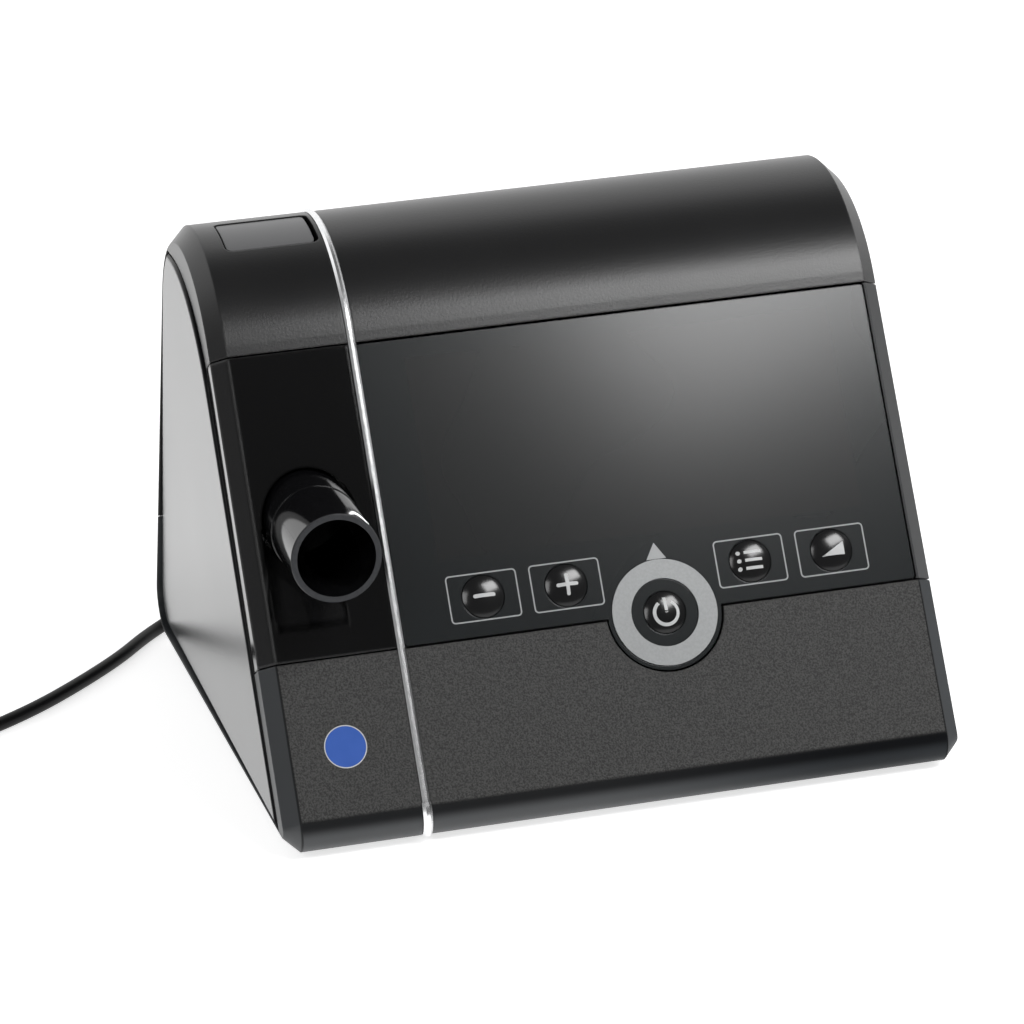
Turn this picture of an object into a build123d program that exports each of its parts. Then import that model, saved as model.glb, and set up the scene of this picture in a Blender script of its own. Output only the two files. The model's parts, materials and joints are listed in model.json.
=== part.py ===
from build123d import *
import os
from math import cos, pi, radians, sin, tan

# A compact bedside CPAP flow generator: a three-sided prism with a round crown. Its sloping front
# carries a display film with domed keys and a glossy panel with the outlet tube; a cover on the
# left side hides the humidifier connection, and a button in the crown releases that cover.
# Sizes are in millimetres. +X is the user's right, -Y the front, +Z up. The origin lies on the
# table, under the middle of the casing.

# ---- casing form
WIDTH = 170.0            # across the two side faces
HEIGHT = 135.0           # table to the top of the crown
DEPTH = 178.0            # nose to heel
FRONT_ANGLE = 62.1       # slope of the front face from the table
BACK_ANGLE = 62.0        # slope of the back face from the table
FOOT_GAP = 1.2           # table to the underside
NOSE_R = 6.0             # round between front face and underside
HEEL_R = 12.0            # round between back face and underside
EDGE = 3.9               # chamfer round both side faces
WALL = 2.5               # shell wall
SEAM = 0.4               # visible gap between casing pieces
FIT = 0.1                # gap between pieces that sit in each other

# ---- sloping front, measured up the slope (s) from the table line
SEAM_LOW = 50.0          # lower shell to middle section
SEAM_DROP = 2.75617      # middle section to crown shell, below the start of the crown's round
FRAME_T = 4.0            # carrier plate of the middle section
PANEL_T = 2.0            # glossy panel skin
STRIP_SIDE = 34.7        # left side to the middle of the chrome strip
STRIP_W = 1.8
STRIP_PROUD = 0.7        # strip above the casing
STRIP_SEAT = 1.0         # strip below the casing surface
STRIP_END_S = 12.3       # where the strip's end section begins
STRIP_END_W = 2.3

# ---- display film and keys
FILM_T = 1.2
FILM_SINK = 0.3          # film below the casing surface
FILM_SIDE = 4.7          # film to the right side
FILM_CORNER = 0.8
FILM_GAP = 0.3
KEY_S = 60.0             # row of the four small keys, up the slope
POWER_X = 15.9
KEY_XS = {
    "key_minus": POWER_X - 44.1,
    "key_plus": POWER_X - 23.3,
    "key_menu": POWER_X + 23.5,
    "key_ramp": POWER_X + 44.4,
}
POWER_S = 50.2
KEY_R = 5.15
KEY_DOME = 1.9           # dome above the film
KEY_RIM = 0.85           # flange that keeps the key in
KEY_PLAY = 0.2           # radial gap of key in its hole
KEY_TRAVEL = 0.8
KEY_REST = 0.1           # flange behind the carrier
SWITCH_R = 2.8
SWITCH_GAP = 0.1         # pressed key to its switch
RING_IN = 8.45
RING_OUT = 13.2
RING_T = 0.5
BULGE_R = 14.3           # film round the power ring
LCD_MARGINS = (11.1, 10.3)   # film's left and right edge to the window behind it
LCD_LOW = 70.0
LCD_TOP_GAP = 5.0        # window to the upper seam
LCD_LAP = 2.5
LCD_T = 3.9
LCD_GLASS_GAP = 0.5      # glass inside its window
BOARD_T = 1.6
KEY_BOARD_X = (KEY_XS["key_minus"] - 12.8, KEY_XS["key_ramp"] + 13.7)
KEY_BOARD_S = 41.0       # lower edge of the keypad board
FRAME_POST_XS = (KEY_XS["key_minus"] - 7.8, POWER_X + 11.1, KEY_XS["key_ramp"] + 8.7)
FRAME_POST_SS = (54.0, 64.0)
FRAME_POST_R = 2.6
FRAME_PILOT_R = 1.0
FRAME_SCREW_R = 0.95
FRAME_SCREW_HEAD_R = 2.0
FRAME_SCREW_HEAD_H = 1.4

# ---- outlet port
PORT_SIDE = 17.8         # left side to the tube's axis
PORT_Z = 73.6
MOUTH_OUT = 29.36786     # tube's mouth in front of the sloping face
TUBE_R = 11.0            # standard 22 mm outlet
TUBE_FREE = 23.0         # length that a hose pushes onto
TUBE_SHOULDER = 0.2      # root of the tube is this much thicker
BORE_R = 9.5
POCKET_R = 12.0
POCKET_DEEP = 14.63214   # pocket floor behind the sloping face
CUP_WALL = 1.4
SCOOP_SPREAD = (12.4, 5.3)   # left and right of the tube's axis
SCOOP_S = 57.5           # lower end of the scoop
SCOOP_DEPTH = 8.0
PORT_CLEAR_SIDE = 3.0    # carrier opening beside the pocket
PORT_CLEAR_LOW = 4.0     # below the scoop
PORT_CLEAR_HIGH = 22.0   # above the tube's axis
TUBE_STUB = 9.0          # rear end that the duct slips on
TUBE_FLANGE = 0.6        # collar against the pocket floor
TUBE_FLANGE_T = 1.8

# ---- side cover and humidifier bay
COVER_FRONT = 11.1       # cover edge behind the front face
COVER_RIM = 5.4          # cover edge inside the other faces
COVER_BEND_DROP = 35.0   # where the front edge starts to curve, below the top of the crown
COVER_TOP_R = 47.0
COVER_PROUD = 0.2        # cover face above the side face, in the middle
COVER_MID_Z = 65.0
COVER_YAW = 0.65         # its front edge stands out more, its back edge less
COVER_LEAN = 0.57        # and its top more than its foot
COVER_REST = 1.0         # plate to bay floor
COVER_ROUND = 1.0        # round along the cover's outer edge
COVER_GAP = 1.3
BAY_DEPTH = 3.8          # bay floor below the side face
BAY_WALL = 2.0
RIM_T = 1.4              # rim behind the cover plate
RIM_GAP = 0.2            # rim to bay floor
HOOK_YS = (39.0, 29.0)   # behind the nose and in front of the heel
HOOK_Z = 16.0
HOOK_W = 6.0
HOOK_T = 1.6
HOOK_PLAY = 0.4

# ---- humidifier connection behind the cover
HUM_Z = 57.0
HUM_R = 11.5
HUM_SEAL = 2.6           # rubber round the opening
HUM_FLANGE = 1.2
CONTACTS_ENDS = (53.0, 37.0) # in front of the heel
CONTACTS_Z = (19.0, 26.0)
CONTACTS_DEEP = 4.0
CONTACTS_FLANGE = 2.0
CONTACT_COUNT = 5
CONTACT_PITCH = 2.8
CONTACT_W = 1.8
CONTACT_EDGE = 1.6

# ---- release button
BUTTON_SIDE = 9.6        # left side to the button
BUTTON_W = 22.0
BUTTON_Y = (-12.6, 3.2)
BUTTON_GAP = 0.45
BUTTON_GAP_RIGHT = 1.2
BUTTON_SINK = 0.25
BUTTON_ROUND = 1.5       # corners seen from above
BUTTON_T = 2.2
BUTTON_TRAVEL = 2.5
LATCH_SIDE = 14.0
LATCH_W = 5.0
LATCH_Y = (-7.0, -2.0)
LATCH_Z = 108.0
LATCH_H = 4.0
LATCH_NOSE_INSET = 0.8   # nose thinner than the bar, above and below
LATCH_SIDE_GAP = 0.3
GUIDE_T = 1.5
GUIDE_DROP = 14.0        # spring seat below the bar
GUIDE_RISE = 8.0
SPRING_R = 2.0
SPRING_WIRE_R = 0.3
SPRING_TURNS = 5
SPRING_H = 13.4

# ---- back: filter cover and power inlet
FILTER_SIDE = 45.0       # right side to the middle of the filter
FILTER_W = 50.0
FILTER_LOW = 50.0        # lower edge of the cover, up the back slope
FILTER_H = 36.0
FILTER_COVER_T = 2.2
FILTER_PAD_T = 4.0
FILTER_LAP = 2.0
FILTER_WALL = 2.2        # wall and grille behind the pad
FILTER_CORNER = 1.5
GRILLE_OPENINGS = 5
GRILLE_BAR = 2.0
LOUVRES = 7
LOUVRE_W = 1.6
LOUVRE_SIDE = 6.0        # louvre end to the cover's side
LOUVRE_EDGE = 4.0        # louvres to the cover's upper and lower edge
INLET_X = -4.0
INLET_Z = 25.0
INLET_W = 20.0
INLET_H = 16.0
INLET_DEEP = 10.0        # floor of the inlet recess in front of the heel
SOCKET_R = 4.0
SOCKET_BODY = 11.0
SOCKET_DEEP = 12.0
BARREL_R = 2.75
BARREL_L = 7.0           # barrel behind the recess wall
PIN_R = 1.0
PIN_HOLE_R = 1.2

# ---- blower
BLOWER_X = 32.0
BLOWER_Y = 4.0
BLOWER_Z = 14.0
BLOWER_H = 20.0
SCROLL_R = 30.0
SCROLL_GROWTH = 6.0
SCROLL_WALL = 1.8
IMPELLER_R = 23.0
BLADES = 11
EYE_R = 12.0
SHAFT_R = 1.5
SHAFT_FIT = 0.05
DUCT_R = 9.5
DUCT_WALL = 1.4
DUCT_BEND = 1.3          # bend radius in duct radii
EYE_H = 6.0              # eye collar above the scroll
MOTOR_R = 13.0
MOTOR_H = 6.0
MOTOR_BOSS_R = 3.9
MOTOR_BOSS_H = 3.0
MOTOR_HOLE_R = 4.0
SHAFT_L = 14.0
WHEEL_GAP = 0.4          # motor to wheel
WHEEL_H = 9.0
WHEEL_PLATE = 1.2
HUB_R = 5.0
BLADE_T = 1.2
MOUNT_RING = 22.0        # circle of the three soft mounts
MOUNT_R = 5.0
MOUNT_NECK_R = 3.6
MOUNT_FOOT_H = 3.4
MOUNT_SOCKET_WALL = 1.5
MOUNT_SOCKET_H = 2.0
INTAKE_H = 32.0
INTAKE_WALL = 1.6
INTAKE_SIDE = 4.0        # duct narrower than the filter, each side
INTAKE_LEAD = 6.0        # duct in front of the eye
INTAKE_RAMP_Z = 12.0
INTAKE_RAMP_Y = 26.0

# ---- main board
BOARD_LEFT_GAP = 15.0    # bay wall to board
BOARD_RIGHT_GAP = 9.0    # board to scroll
BOARD_NOSE_GAP = 31.0    # nose to board
BOARD_BACK_Y = 8.0
BOARD_LIFT = 5.0         # floor to the board's underside
BOARD_HOLE_INSET = 4.0
BOARD_POST_R = 3.0
BOARD_SCREW_HEAD_H = 1.5
CHIP_W = 9.0
CHIP_H = 1.4
CAP_R = 3.5
CAP_H = 9.0
CAP_PITCH = 11.0
RIB_T = 1.6
RIB_H = 7.0
RIB_L = 28.0
RIB_LEAD = 4.0           # front rib starts before the board
RIB_GAP = 34.0           # back rib starts behind the blower's axis

# ---- fasteners and feet
POST_R = 4.5
POST_SIDES = (14.0, 9.5)     # left and right side to the posts
POST_ENDS = (44.0, 29.0)     # nose and heel to the posts
SCREW_R = 1.5
SCREW_HEAD_R = 2.8
SCREW_SINK = 6.0         # head below the split
SCREW_HEAD_H = 2.0
SCREW_L = 14.0
SCREW_HEX_R = 1.1
BOSS_H = 16.0
WEB_T = 2.0
FOOT_R = 6.0
FOOT_SINK = 1.0
FOOT_SIDE = 27.0
FOOT_ENDS = (21.0, 27.0)     # nose and heel to the feet

# ---- lead
CORD_D = 3.6
CORD_Z = 1.9             # axis of a lead that lies on the table
COIL_X = -169.85
COIL_Y = 40.4
COIL_MEAN_R = 20.0
COIL_W = 13.2            # across the turns of one layer
COIL_H = 14.6            # four layers
COIL_ROUND = 1.2
TIE_T = 0.9
TIE_GAP = 0.3
TIE_W = 6.0
PLUG_R = 4.6
PLUG_OUT = 13.5          # axis of the plug's arm behind the recess floor
PLUG_ARM = 16.0
RELIEF_L = 18.0
RELIEF_RS = (3.6, 2.3)   # thick and thin end of a strain relief
SUPPLY_X = -234.6
SUPPLY_Y = -40.5
SUPPLY_W = 42.0
SUPPLY_L = 88.0
SUPPLY_H = 29.0
SUPPLY_CORNER = 5.0
SUPPLY_TOP_ROUND = 2.5
SUPPLY_BASE_ROUND = 1.5
SUPPLY_RELIEF_R = 4.0
SUPPLY_RELIEF_L = 12.0
SUPPLY_RELIEF_SEAT = 6.0
MAINS_W = 22.0
MAINS_H = 14.0
MAINS_DEEP = 14.0
MAINS_HOLE = (15.0, 9.0)
MAINS_HOLE_R = 4.4
MAINS_HOLE_DEEP = 10.0
MAINS_PIN_X = 3.4
MAINS_PIN_R = 1.2

# ---- worked out from the sizes above
ALPHA = radians(FRONT_ANGLE)
BETA = radians(BACK_ANGLE)
FRONT_FOOT = -DEPTH / 2 - NOSE_R * (1 / tan(ALPHA / 2) - 1)
BACK_FOOT = DEPTH / 2 + HEEL_R * (1 / tan(BETA / 2) - 1)
RISE = HEIGHT - FOOT_GAP
SPAN = BACK_FOOT - FRONT_FOOT
CROWN_R = (SPAN - RISE * (1 / tan(ALPHA) + 1 / tan(BETA))) / (tan(ALPHA / 2) + tan(BETA / 2))
CROWN_S = HEIGHT / sin(ALPHA) - CROWN_R * tan(ALPHA / 2)
SEAM_HIGH = CROWN_S - SEAM_DROP
FRAME_LIP = COVER_FRONT - COVER_GAP
SPLIT_Z = SEAM_LOW * sin(ALPHA) - FRAME_LIP * cos(ALPHA)
SIDE = WIDTH / 2
BAY_X = -SIDE + BAY_DEPTH
INNER_LEFT = BAY_X + BAY_WALL
INNER_RIGHT = SIDE - WALL
FLOOR_Z = FOOT_GAP + WALL
OUTSIDE = HEIGHT / 20    # how far cutting shapes reach past the casing
BOARD_Z = FLOOR_Z + BOARD_LIFT
PORT_X = -SIDE + PORT_SIDE
PORT_S = PORT_Z / sin(ALPHA)
PORT_FACE_Y = FRONT_FOOT + (PORT_Z - FOOT_GAP) / tan(ALPHA)
MOUTH_Y = PORT_FACE_Y - MOUTH_OUT
POCKET_FLOOR_Y = PORT_FACE_Y + POCKET_DEEP
SCOOP_X = (PORT_X - SCOOP_SPREAD[0], PORT_X + SCOOP_SPREAD[1])
COVER_BEND_Z = HEIGHT - COVER_BEND_DROP
HOOK_SPOTS = ((-DEPTH / 2 + HOOK_YS[0], HOOK_Z), (DEPTH / 2 - HOOK_YS[1], HOOK_Z))
BUTTON_X = (-SIDE + BUTTON_SIDE, -SIDE + BUTTON_SIDE + BUTTON_W)
LATCH_X = (-SIDE + LATCH_SIDE, -SIDE + LATCH_SIDE + LATCH_W)
CONTACTS_Y = (DEPTH / 2 - CONTACTS_ENDS[0], DEPTH / 2 - CONTACTS_ENDS[1])
FILTER_X = SIDE - FILTER_SIDE
INLET_Y = DEPTH / 2 - INLET_DEEP
PLUG_Y = INLET_Y + PLUG_OUT
BOARD_Y = (-DEPTH / 2 + BOARD_NOSE_GAP, BOARD_BACK_Y)
RIB_YS = (BOARD_Y[0] - RIB_LEAD, BLOWER_Y + RIB_GAP)
POST_X = (-SIDE + POST_SIDES[0], SIDE - POST_SIDES[1])
POST_Y = (-DEPTH / 2 + POST_ENDS[0], DEPTH / 2 - POST_ENDS[1])
FOOT_X = SIDE - FOOT_SIDE
FOOT_Y = (-DEPTH / 2 + FOOT_ENDS[0], DEPTH / 2 - FOOT_ENDS[1])
HUM_Y = BLOWER_Y + SCROLL_R + SCROLL_GROWTH - DUCT_R
INTAKE_Z = BLOWER_Z + BLOWER_H + EYE_H
INTAKE_STOP = FILTER_COVER_T + FILTER_PAD_T + FILTER_WALL + FIT
RELIEF_X = INLET_X - PLUG_ARM
EXIT_X = RELIEF_X - RELIEF_L
STRIP_X = -SIDE + STRIP_SIDE
FILM_LEFT = STRIP_X + STRIP_W / 2 + FILM_GAP
FILM_RIGHT = SIDE - FILM_SIDE
FILM_LOW = SEAM_LOW + SEAM
FILM_HIGH = SEAM_HIGH - SEAM
FILM_BACK = FILM_SINK + FILM_T
LCD_X = (FILM_LEFT + LCD_MARGINS[0], FILM_RIGHT - LCD_MARGINS[1])
LCD_S = (LCD_LOW, SEAM_HIGH - LCD_TOP_GAP)
PANEL_RIGHT = STRIP_X - STRIP_W / 2 - FIT
BOARD_N = FRAME_T + KEY_RIM + KEY_TRAVEL + 2.2
CORD_R = CORD_D / 2
COIL_OUT_X = COIL_X - COIL_MEAN_R - COIL_W / 2 + CORD_R + 0.2

FACE = Plane(
    origin=(0, FRONT_FOOT - FOOT_GAP / tan(ALPHA), 0),
    x_dir=(1, 0, 0),
    z_dir=(0, -sin(ALPHA), cos(ALPHA)),
)
BACK = Plane(
    origin=(0, BACK_FOOT + FOOT_GAP / tan(BETA), 0),
    x_dir=(-1, 0, 0),
    z_dir=(0, sin(BETA), cos(BETA)),
)


# ---- small helpers
def block(x, y, z):
    """A box between two limits on each axis."""
    size = Box(x[1] - x[0], y[1] - y[0], z[1] - z[0])
    return Pos((x[0] + x[1]) / 2, (y[0] + y[1]) / 2, (z[0] + z[1]) / 2) * size


def on_face(x, s, n):
    """A box in the sloping front's own directions: across, up the slope, outward."""
    return FACE * block(x, s, n)


def on_back(x, t, n):
    """A box in the back face's own directions, with x still the user's right."""
    return BACK * block((-x[1], -x[0]), t, n)


def rod(start, end, r, r_end=None):
    """A cylinder, or a cone when a second radius is given, from point to point."""
    axis = Vector(*end) - Vector(*start)
    place = Plane(origin=start, z_dir=axis)
    height = axis.length
    body = Cylinder(r, height) if r_end is None else Cone(r, r_end, height)
    return place * Pos(0, 0, height / 2) * body


def face_rod(x, s, n0, n1, r):
    return FACE * Pos(x, s, (n0 + n1) / 2) * Cylinder(r, n1 - n0)


def slope_y(z, inset=0.0):
    """Where the front face, moved inward by the inset, is at a height."""
    return FRONT_FOOT + (z - FOOT_GAP) / tan(ALPHA) + inset / sin(ALPHA)


def back_y(z, inset=0.0):
    return BACK_FOOT - (z - FOOT_GAP) / tan(BETA) - inset / sin(BETA)


def save(name, shape):
    solids = shape.solids()
    export_step(solids[0] if len(solids) == 1 else Compound(children=list(solids)), f"parts/{name}.step")
    return shape


# ---- casing outline
def outline(inset):
    """The prism's side outline, moved inward by the inset, in (y, z)."""
    base = FOOT_GAP + inset
    front = FRONT_FOOT + inset / tan(ALPHA / 2)
    back = BACK_FOOT - inset / tan(BETA / 2)
    top_y = front + (back - front) * tan(BETA) / (tan(ALPHA) + tan(BETA))
    top_z = base + (top_y - front) * tan(ALPHA)
    sketch = make_face(Polyline((front, base), (back, base), (top_y, top_z), close=True))
    rounds = (((front, base), NOSE_R), ((back, base), HEEL_R), ((top_y, top_z), CROWN_R))
    for corner, radius in rounds:
        vertex = sketch.vertices().sort_by_distance(Vector(*corner, 0))[0]
        sketch = fillet(vertex, max(radius - inset, 0.6))
    return sketch


def side_prism(sketch, x0, x1):
    return extrude(Plane.YZ.offset(x0) * sketch, x1 - x0)


def blank(inset, edge):
    """The whole prism with its chamfered side edges, moved inward by the inset."""
    body = side_prism(outline(inset), -SIDE + inset, SIDE - inset)
    ends = body.faces().sort_by(Axis.X)
    return chamfer(ends[0].edges() + ends[-1].edges(), edge)


def cavity(inset):
    """The hollow, square at the bay wall and chamfered along the right side."""
    body = side_prism(outline(inset), INNER_LEFT, INNER_RIGHT)
    right = body.faces().sort_by(Axis.X)[-1]
    return chamfer(right.edges(), max(EDGE - 0.6 * WALL, 0.5))


def cover_outline(grow):
    """The side cover's outline: straight up the front, curved over the top to a corner."""
    inset = COVER_FRONT - grow
    radius = COVER_TOP_R + grow
    bend = (slope_y(COVER_BEND_Z, inset), COVER_BEND_Z)
    centre = (bend[0] + radius * sin(ALPHA), bend[1] - radius * cos(ALPHA))
    top = (centre[0], centre[1] + radius)
    middle_angle = (pi / 2 + ALPHA + pi / 2) / 2
    middle = (centre[0] + radius * cos(middle_angle), centre[1] + radius * sin(middle_angle))
    foot = (slope_y(0, inset), 0)
    edges = [
        Line(foot, bend),
        ThreePointArc(bend, middle, top),
        Line(top, (DEPTH, top[1])),
        Line((DEPTH, top[1]), (DEPTH, 0)),
        Line((DEPTH, 0), foot),
    ]
    return make_face(edges) & outline(COVER_RIM - grow)


def middle_zone(gap):
    """The part of the front that the middle section fills, shrunk by the gap at its seams."""
    wide = (-WIDTH, WIDTH)
    return on_face(wide, (SEAM_LOW + gap, SEAM_HIGH - gap), (-FRAME_LIP + gap / 2, DEPTH))


def lower_zone(gap):
    """What belongs to the lower shell: below the split, and the front up to its seam."""
    wide = (-WIDTH, WIDTH)
    below = block(wide, (-DEPTH, DEPTH), (-1, SPLIT_Z - gap))
    return below + on_face(wide, (-1, SEAM_LOW - gap), (-FRAME_LIP, DEPTH))


def strip_channel():
    body = side_prism(outline(-OUTSIDE), STRIP_X - STRIP_W / 2 - FIT, STRIP_X + STRIP_W / 2 + FIT)
    return body - side_prism(outline(STRIP_SEAT + FIT), -SIDE, SIDE)


def strip_end_channel():
    half = STRIP_END_W / 2 + FIT
    body = side_prism(outline(-OUTSIDE), STRIP_X - half, STRIP_X + half)
    low = on_face((-SIDE, SIDE), (0, STRIP_END_S + FIT), (-DEPTH / 4, DEPTH))
    return (body & low) - side_prism(outline(STRIP_SEAT + FIT), -SIDE, SIDE)


def posts(z0, z1, r):
    rods = [rod((x, y, z0), (x, y, z1), r) for x in POST_X for y in POST_Y]
    return Part() + rods


def foot_discs(z0, z1, r):
    return Part() + [rod((x, y, z0), (x, y, z1), r) for x in (-FOOT_X, FOOT_X) for y in FOOT_Y]


# ---- casing shells
def casing_shell():
    bay = side_prism(cover_outline(COVER_GAP), -SIDE - 1, BAY_X)
    return blank(0, EDGE) - cavity(WALL) - bay


def mount_spots():
    """Centres of the three soft mounts under the blower."""
    angles = [radians(90 + 120 * k) for k in range(3)]
    return [(BLOWER_X + MOUNT_RING * cos(a), BLOWER_Y + MOUNT_RING * sin(a)) for a in angles]


def board_spots():
    x, y = board_area()
    inset = BOARD_HOLE_INSET
    return [(px, py) for px in (x[0] + inset, x[1] - inset) for py in (y[0] + inset, y[1] - inset)]


def board_area():
    """Where the main board lies on the floor, left of the blower."""
    return (INNER_LEFT + BOARD_LEFT_GAP, BLOWER_X - SCROLL_R - BOARD_RIGHT_GAP), BOARD_Y



def inlet_box(grow):
    """The recess of the power inlet in the back, grown by a wall."""
    x = (INLET_X - INLET_W / 2 - grow, INLET_X + INLET_W / 2 + grow)
    z = (INLET_Z - INLET_H / 2 - grow, INLET_Z + INLET_H / 2 + grow)
    return block(x, (INLET_Y - grow, DEPTH), z)


def contact_window(grow):
    y = (CONTACTS_Y[0] - grow, CONTACTS_Y[1] + grow)
    z = (CONTACTS_Z[0] - grow, CONTACTS_Z[1] + grow)
    return y, z


def lower_housing(shell):
    """Lower shell: floor, nose, low walls, posts, recesses of feet and screws."""
    body = shell & lower_zone(SEAM / 2)
    top = SPLIT_Z - SEAM / 2
    body += inlet_box(WALL) & side_prism(outline(0), -SIDE, SIDE) & lower_zone(SEAM / 2)
    body -= inlet_box(0)
    body -= rod((INLET_X, INLET_Y - 2 * WALL, INLET_Z), (INLET_X, INLET_Y + 1, INLET_Z), SOCKET_R + FIT)
    body += posts(FLOOR_Z - 0.5, top, POST_R)
    body += Part() + [rod((x, y, FLOOR_Z - 0.5), (x, y, BOARD_Z), BOARD_POST_R) for x, y in board_spots()]
    for x, y in mount_spots():
        body += rod((x, y, FLOOR_Z - 0.5), (x, y, FLOOR_Z + MOUNT_SOCKET_H), MOUNT_R + MOUNT_SOCKET_WALL)
        body -= rod((x, y, FLOOR_Z), (x, y, FLOOR_Z + MOUNT_SOCKET_H + 1), MOUNT_R + FIT)
    body += ribs()
    body -= posts(0, top - SCREW_SINK, SCREW_HEAD_R + 0.3)
    body -= posts(0, top + 1, SCREW_R + 0.2)
    body -= foot_discs(0, FOOT_GAP + FOOT_SINK, FOOT_R + FIT)
    body -= Part() + [rod((x, y, BOARD_Z - 4), (x, y, BOARD_Z + 1), SCREW_R) for x, y in board_spots()]
    body -= face_rod(POWER_X, POWER_S, -FRAME_LIP, 10, BULGE_R + SEAM + FIT)
    body -= strip_channel()
    body -= strip_end_channel()
    y, z = contact_window(FIT)
    body -= block((-SIDE, INNER_LEFT + 1), y, z)
    return body



def ribs():
    """Cross ribs that stiffen the floor between the board and the blower."""
    x = BLOWER_X - SCROLL_R - BOARD_RIGHT_GAP / 2
    rib = Part()
    for y in RIB_YS:
        rib += block((x, x + RIB_T), (y, y + RIB_L), (FLOOR_Z - 0.5, FLOOR_Z + RIB_H))
    return rib


def top_housing(shell):
    """Crown shell: crown, side walls, back, bay wall, bosses and filter pocket."""
    taken = middle_zone(-SEAM / 2) + lower_zone(-SEAM / 2)
    body = shell - taken
    low = SPLIT_Z + SEAM / 2
    bosses = posts(low, low + BOSS_H, POST_R) + boss_webs(low)
    body += bosses & side_prism(outline(WALL / 2), -SIDE, SIDE)
    body -= posts(low - 1, low + BOSS_H - 5, SCREW_R)
    body += filter_pocket() & side_prism(outline(0), -SIDE, SIDE)
    body -= filter_hollow()
    body -= side_prism(outline(-OUTSIDE), *button_x(1)) & button_column(1)
    body -= strip_channel()
    body -= rod((BAY_X - 1, HUM_Y, HUM_Z), (INNER_LEFT + 1, HUM_Y, HUM_Z), HUM_R + FIT)
    body -= cup(POCKET_R + CUP_WALL + FIT, POCKET_FLOOR_Y + CUP_WALL + FIT) & cup_side(FIT)
    body += latch_guide()
    return body


def boss_webs(low):
    """Webs that tie each upper boss to the side wall beside it."""
    web = Part()
    for y in POST_Y:
        thick = (y - WEB_T / 2, y + WEB_T / 2)
        web += block((INNER_LEFT - 1, POST_X[0]), thick, (low, low + BOSS_H))
        web += block((POST_X[1], INNER_RIGHT + 1), thick, (low, low + BOSS_H))
    return web


# ---- middle section of the front
def film_sketch(grow):
    """The film's outline in the front face, with the bulge round the power key."""
    width = FILM_RIGHT - FILM_LEFT + 2 * grow
    height = FILM_HIGH - FILM_LOW + 2 * grow
    centre = ((FILM_LEFT + FILM_RIGHT) / 2, (FILM_LOW + FILM_HIGH) / 2)
    sheet = Pos(*centre) * RectangleRounded(width, height, FILM_CORNER)
    return sheet + Pos(POWER_X, POWER_S) * Circle(BULGE_R + grow)


def keys_sketch(r):
    spots = [Pos(x, KEY_S) * Circle(r) for x in KEY_XS.values()]
    return Pos(POWER_X, POWER_S) * Circle(r) + spots


def face_plate(sketch, n0, n1):
    return extrude(FACE * Pos(0, 0, n0) * sketch, n1 - n0)


def cup(r, y1):
    """A cylinder on the outlet's axis, from in front of the face back to y1."""
    return rod((PORT_X, MOUTH_Y, PORT_Z), (PORT_X, y1, PORT_Z), r)


def cup_side(grow):
    """Where the pocket's wall may reach on its left, inside the bay wall."""
    return block((BAY_X + 0.8 - grow, SIDE), (-DEPTH, DEPTH), (0, HEIGHT))


def scoop(grow):
    """The wedge-shaped hollow under the tube, deeper towards the pocket."""
    points = ((SCOOP_S - grow, 2), (PORT_S, 2), (PORT_S, -SCOOP_DEPTH - grow), (SCOOP_S - grow, -grow))
    side = Plane(origin=FACE.origin, x_dir=FACE.y_dir, z_dir=FACE.x_dir)
    half = make_face(Polyline(*points, close=True))
    return extrude(side.offset(SCOOP_X[0] - grow) * half, SCOOP_X[1] - SCOOP_X[0] + 2 * grow)



def port_panel():
    """Glossy skin over the left of the front, its chamfer and lip, with pocket and scoop."""
    zone = middle_zone(SEAM / 2) & block((-SIDE, PANEL_RIGHT), (-DEPTH, DEPTH), (0, HEIGHT))
    solid = blank(0, EDGE) & zone
    skin = solid - blank(PANEL_T, EDGE - 0.6 * PANEL_T)
    walls = cup(POCKET_R + CUP_WALL, POCKET_FLOOR_Y + CUP_WALL) & cup_side(0)
    body = skin + ((walls + scoop(CUP_WALL)) & blank(0, EDGE))
    body -= scoop(0)
    body -= cup(POCKET_R, POCKET_FLOOR_Y)
    body -= cup(TUBE_R + TUBE_SHOULDER + FIT, 0)
    return body


def front_frame():
    """Carrier plate of the middle section, with its lips, film seat, window and key holes."""
    solid = blank(0, EDGE) & middle_zone(SEAM / 2)
    body = solid - side_prism(outline(FRAME_T), INNER_LEFT, INNER_RIGHT)
    left = block((-SIDE - 1, STRIP_X), (-DEPTH, DEPTH), (0, HEIGHT))
    body -= left - blank(PANEL_T + FIT, EDGE - 0.6 * PANEL_T)
    tongue = Pos(POWER_X, POWER_S) * Circle(BULGE_R)
    body += face_plate(tongue, -FRAME_T, -FILM_BACK)
    body -= face_plate(film_sketch(FILM_GAP), -FILM_BACK, 10)
    body -= on_face(LCD_X, LCD_S, (-FRAME_LIP, 10))
    body -= face_plate(keys_sketch(KEY_R + KEY_PLAY), -FRAME_LIP, 10)
    port_x = (BAY_X - 1, PORT_X + POCKET_R + PORT_CLEAR_SIDE)
    port_s = (SCOOP_S - PORT_CLEAR_LOW, PORT_S + PORT_CLEAR_HIGH)
    body -= on_face(port_x, port_s, (-DEPTH / 4, 5))
    body -= strip_channel()
    for x, s in frame_posts():
        body += face_rod(x, s, -BOARD_N, -FRAME_T + 0.5, FRAME_POST_R)
        body -= face_rod(x, s, -BOARD_N - 1, -FRAME_T - 0.2, FRAME_PILOT_R)
    return body


def frame_posts():
    return [(x, s) for x in FRAME_POST_XS for s in FRAME_POST_SS]


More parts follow.
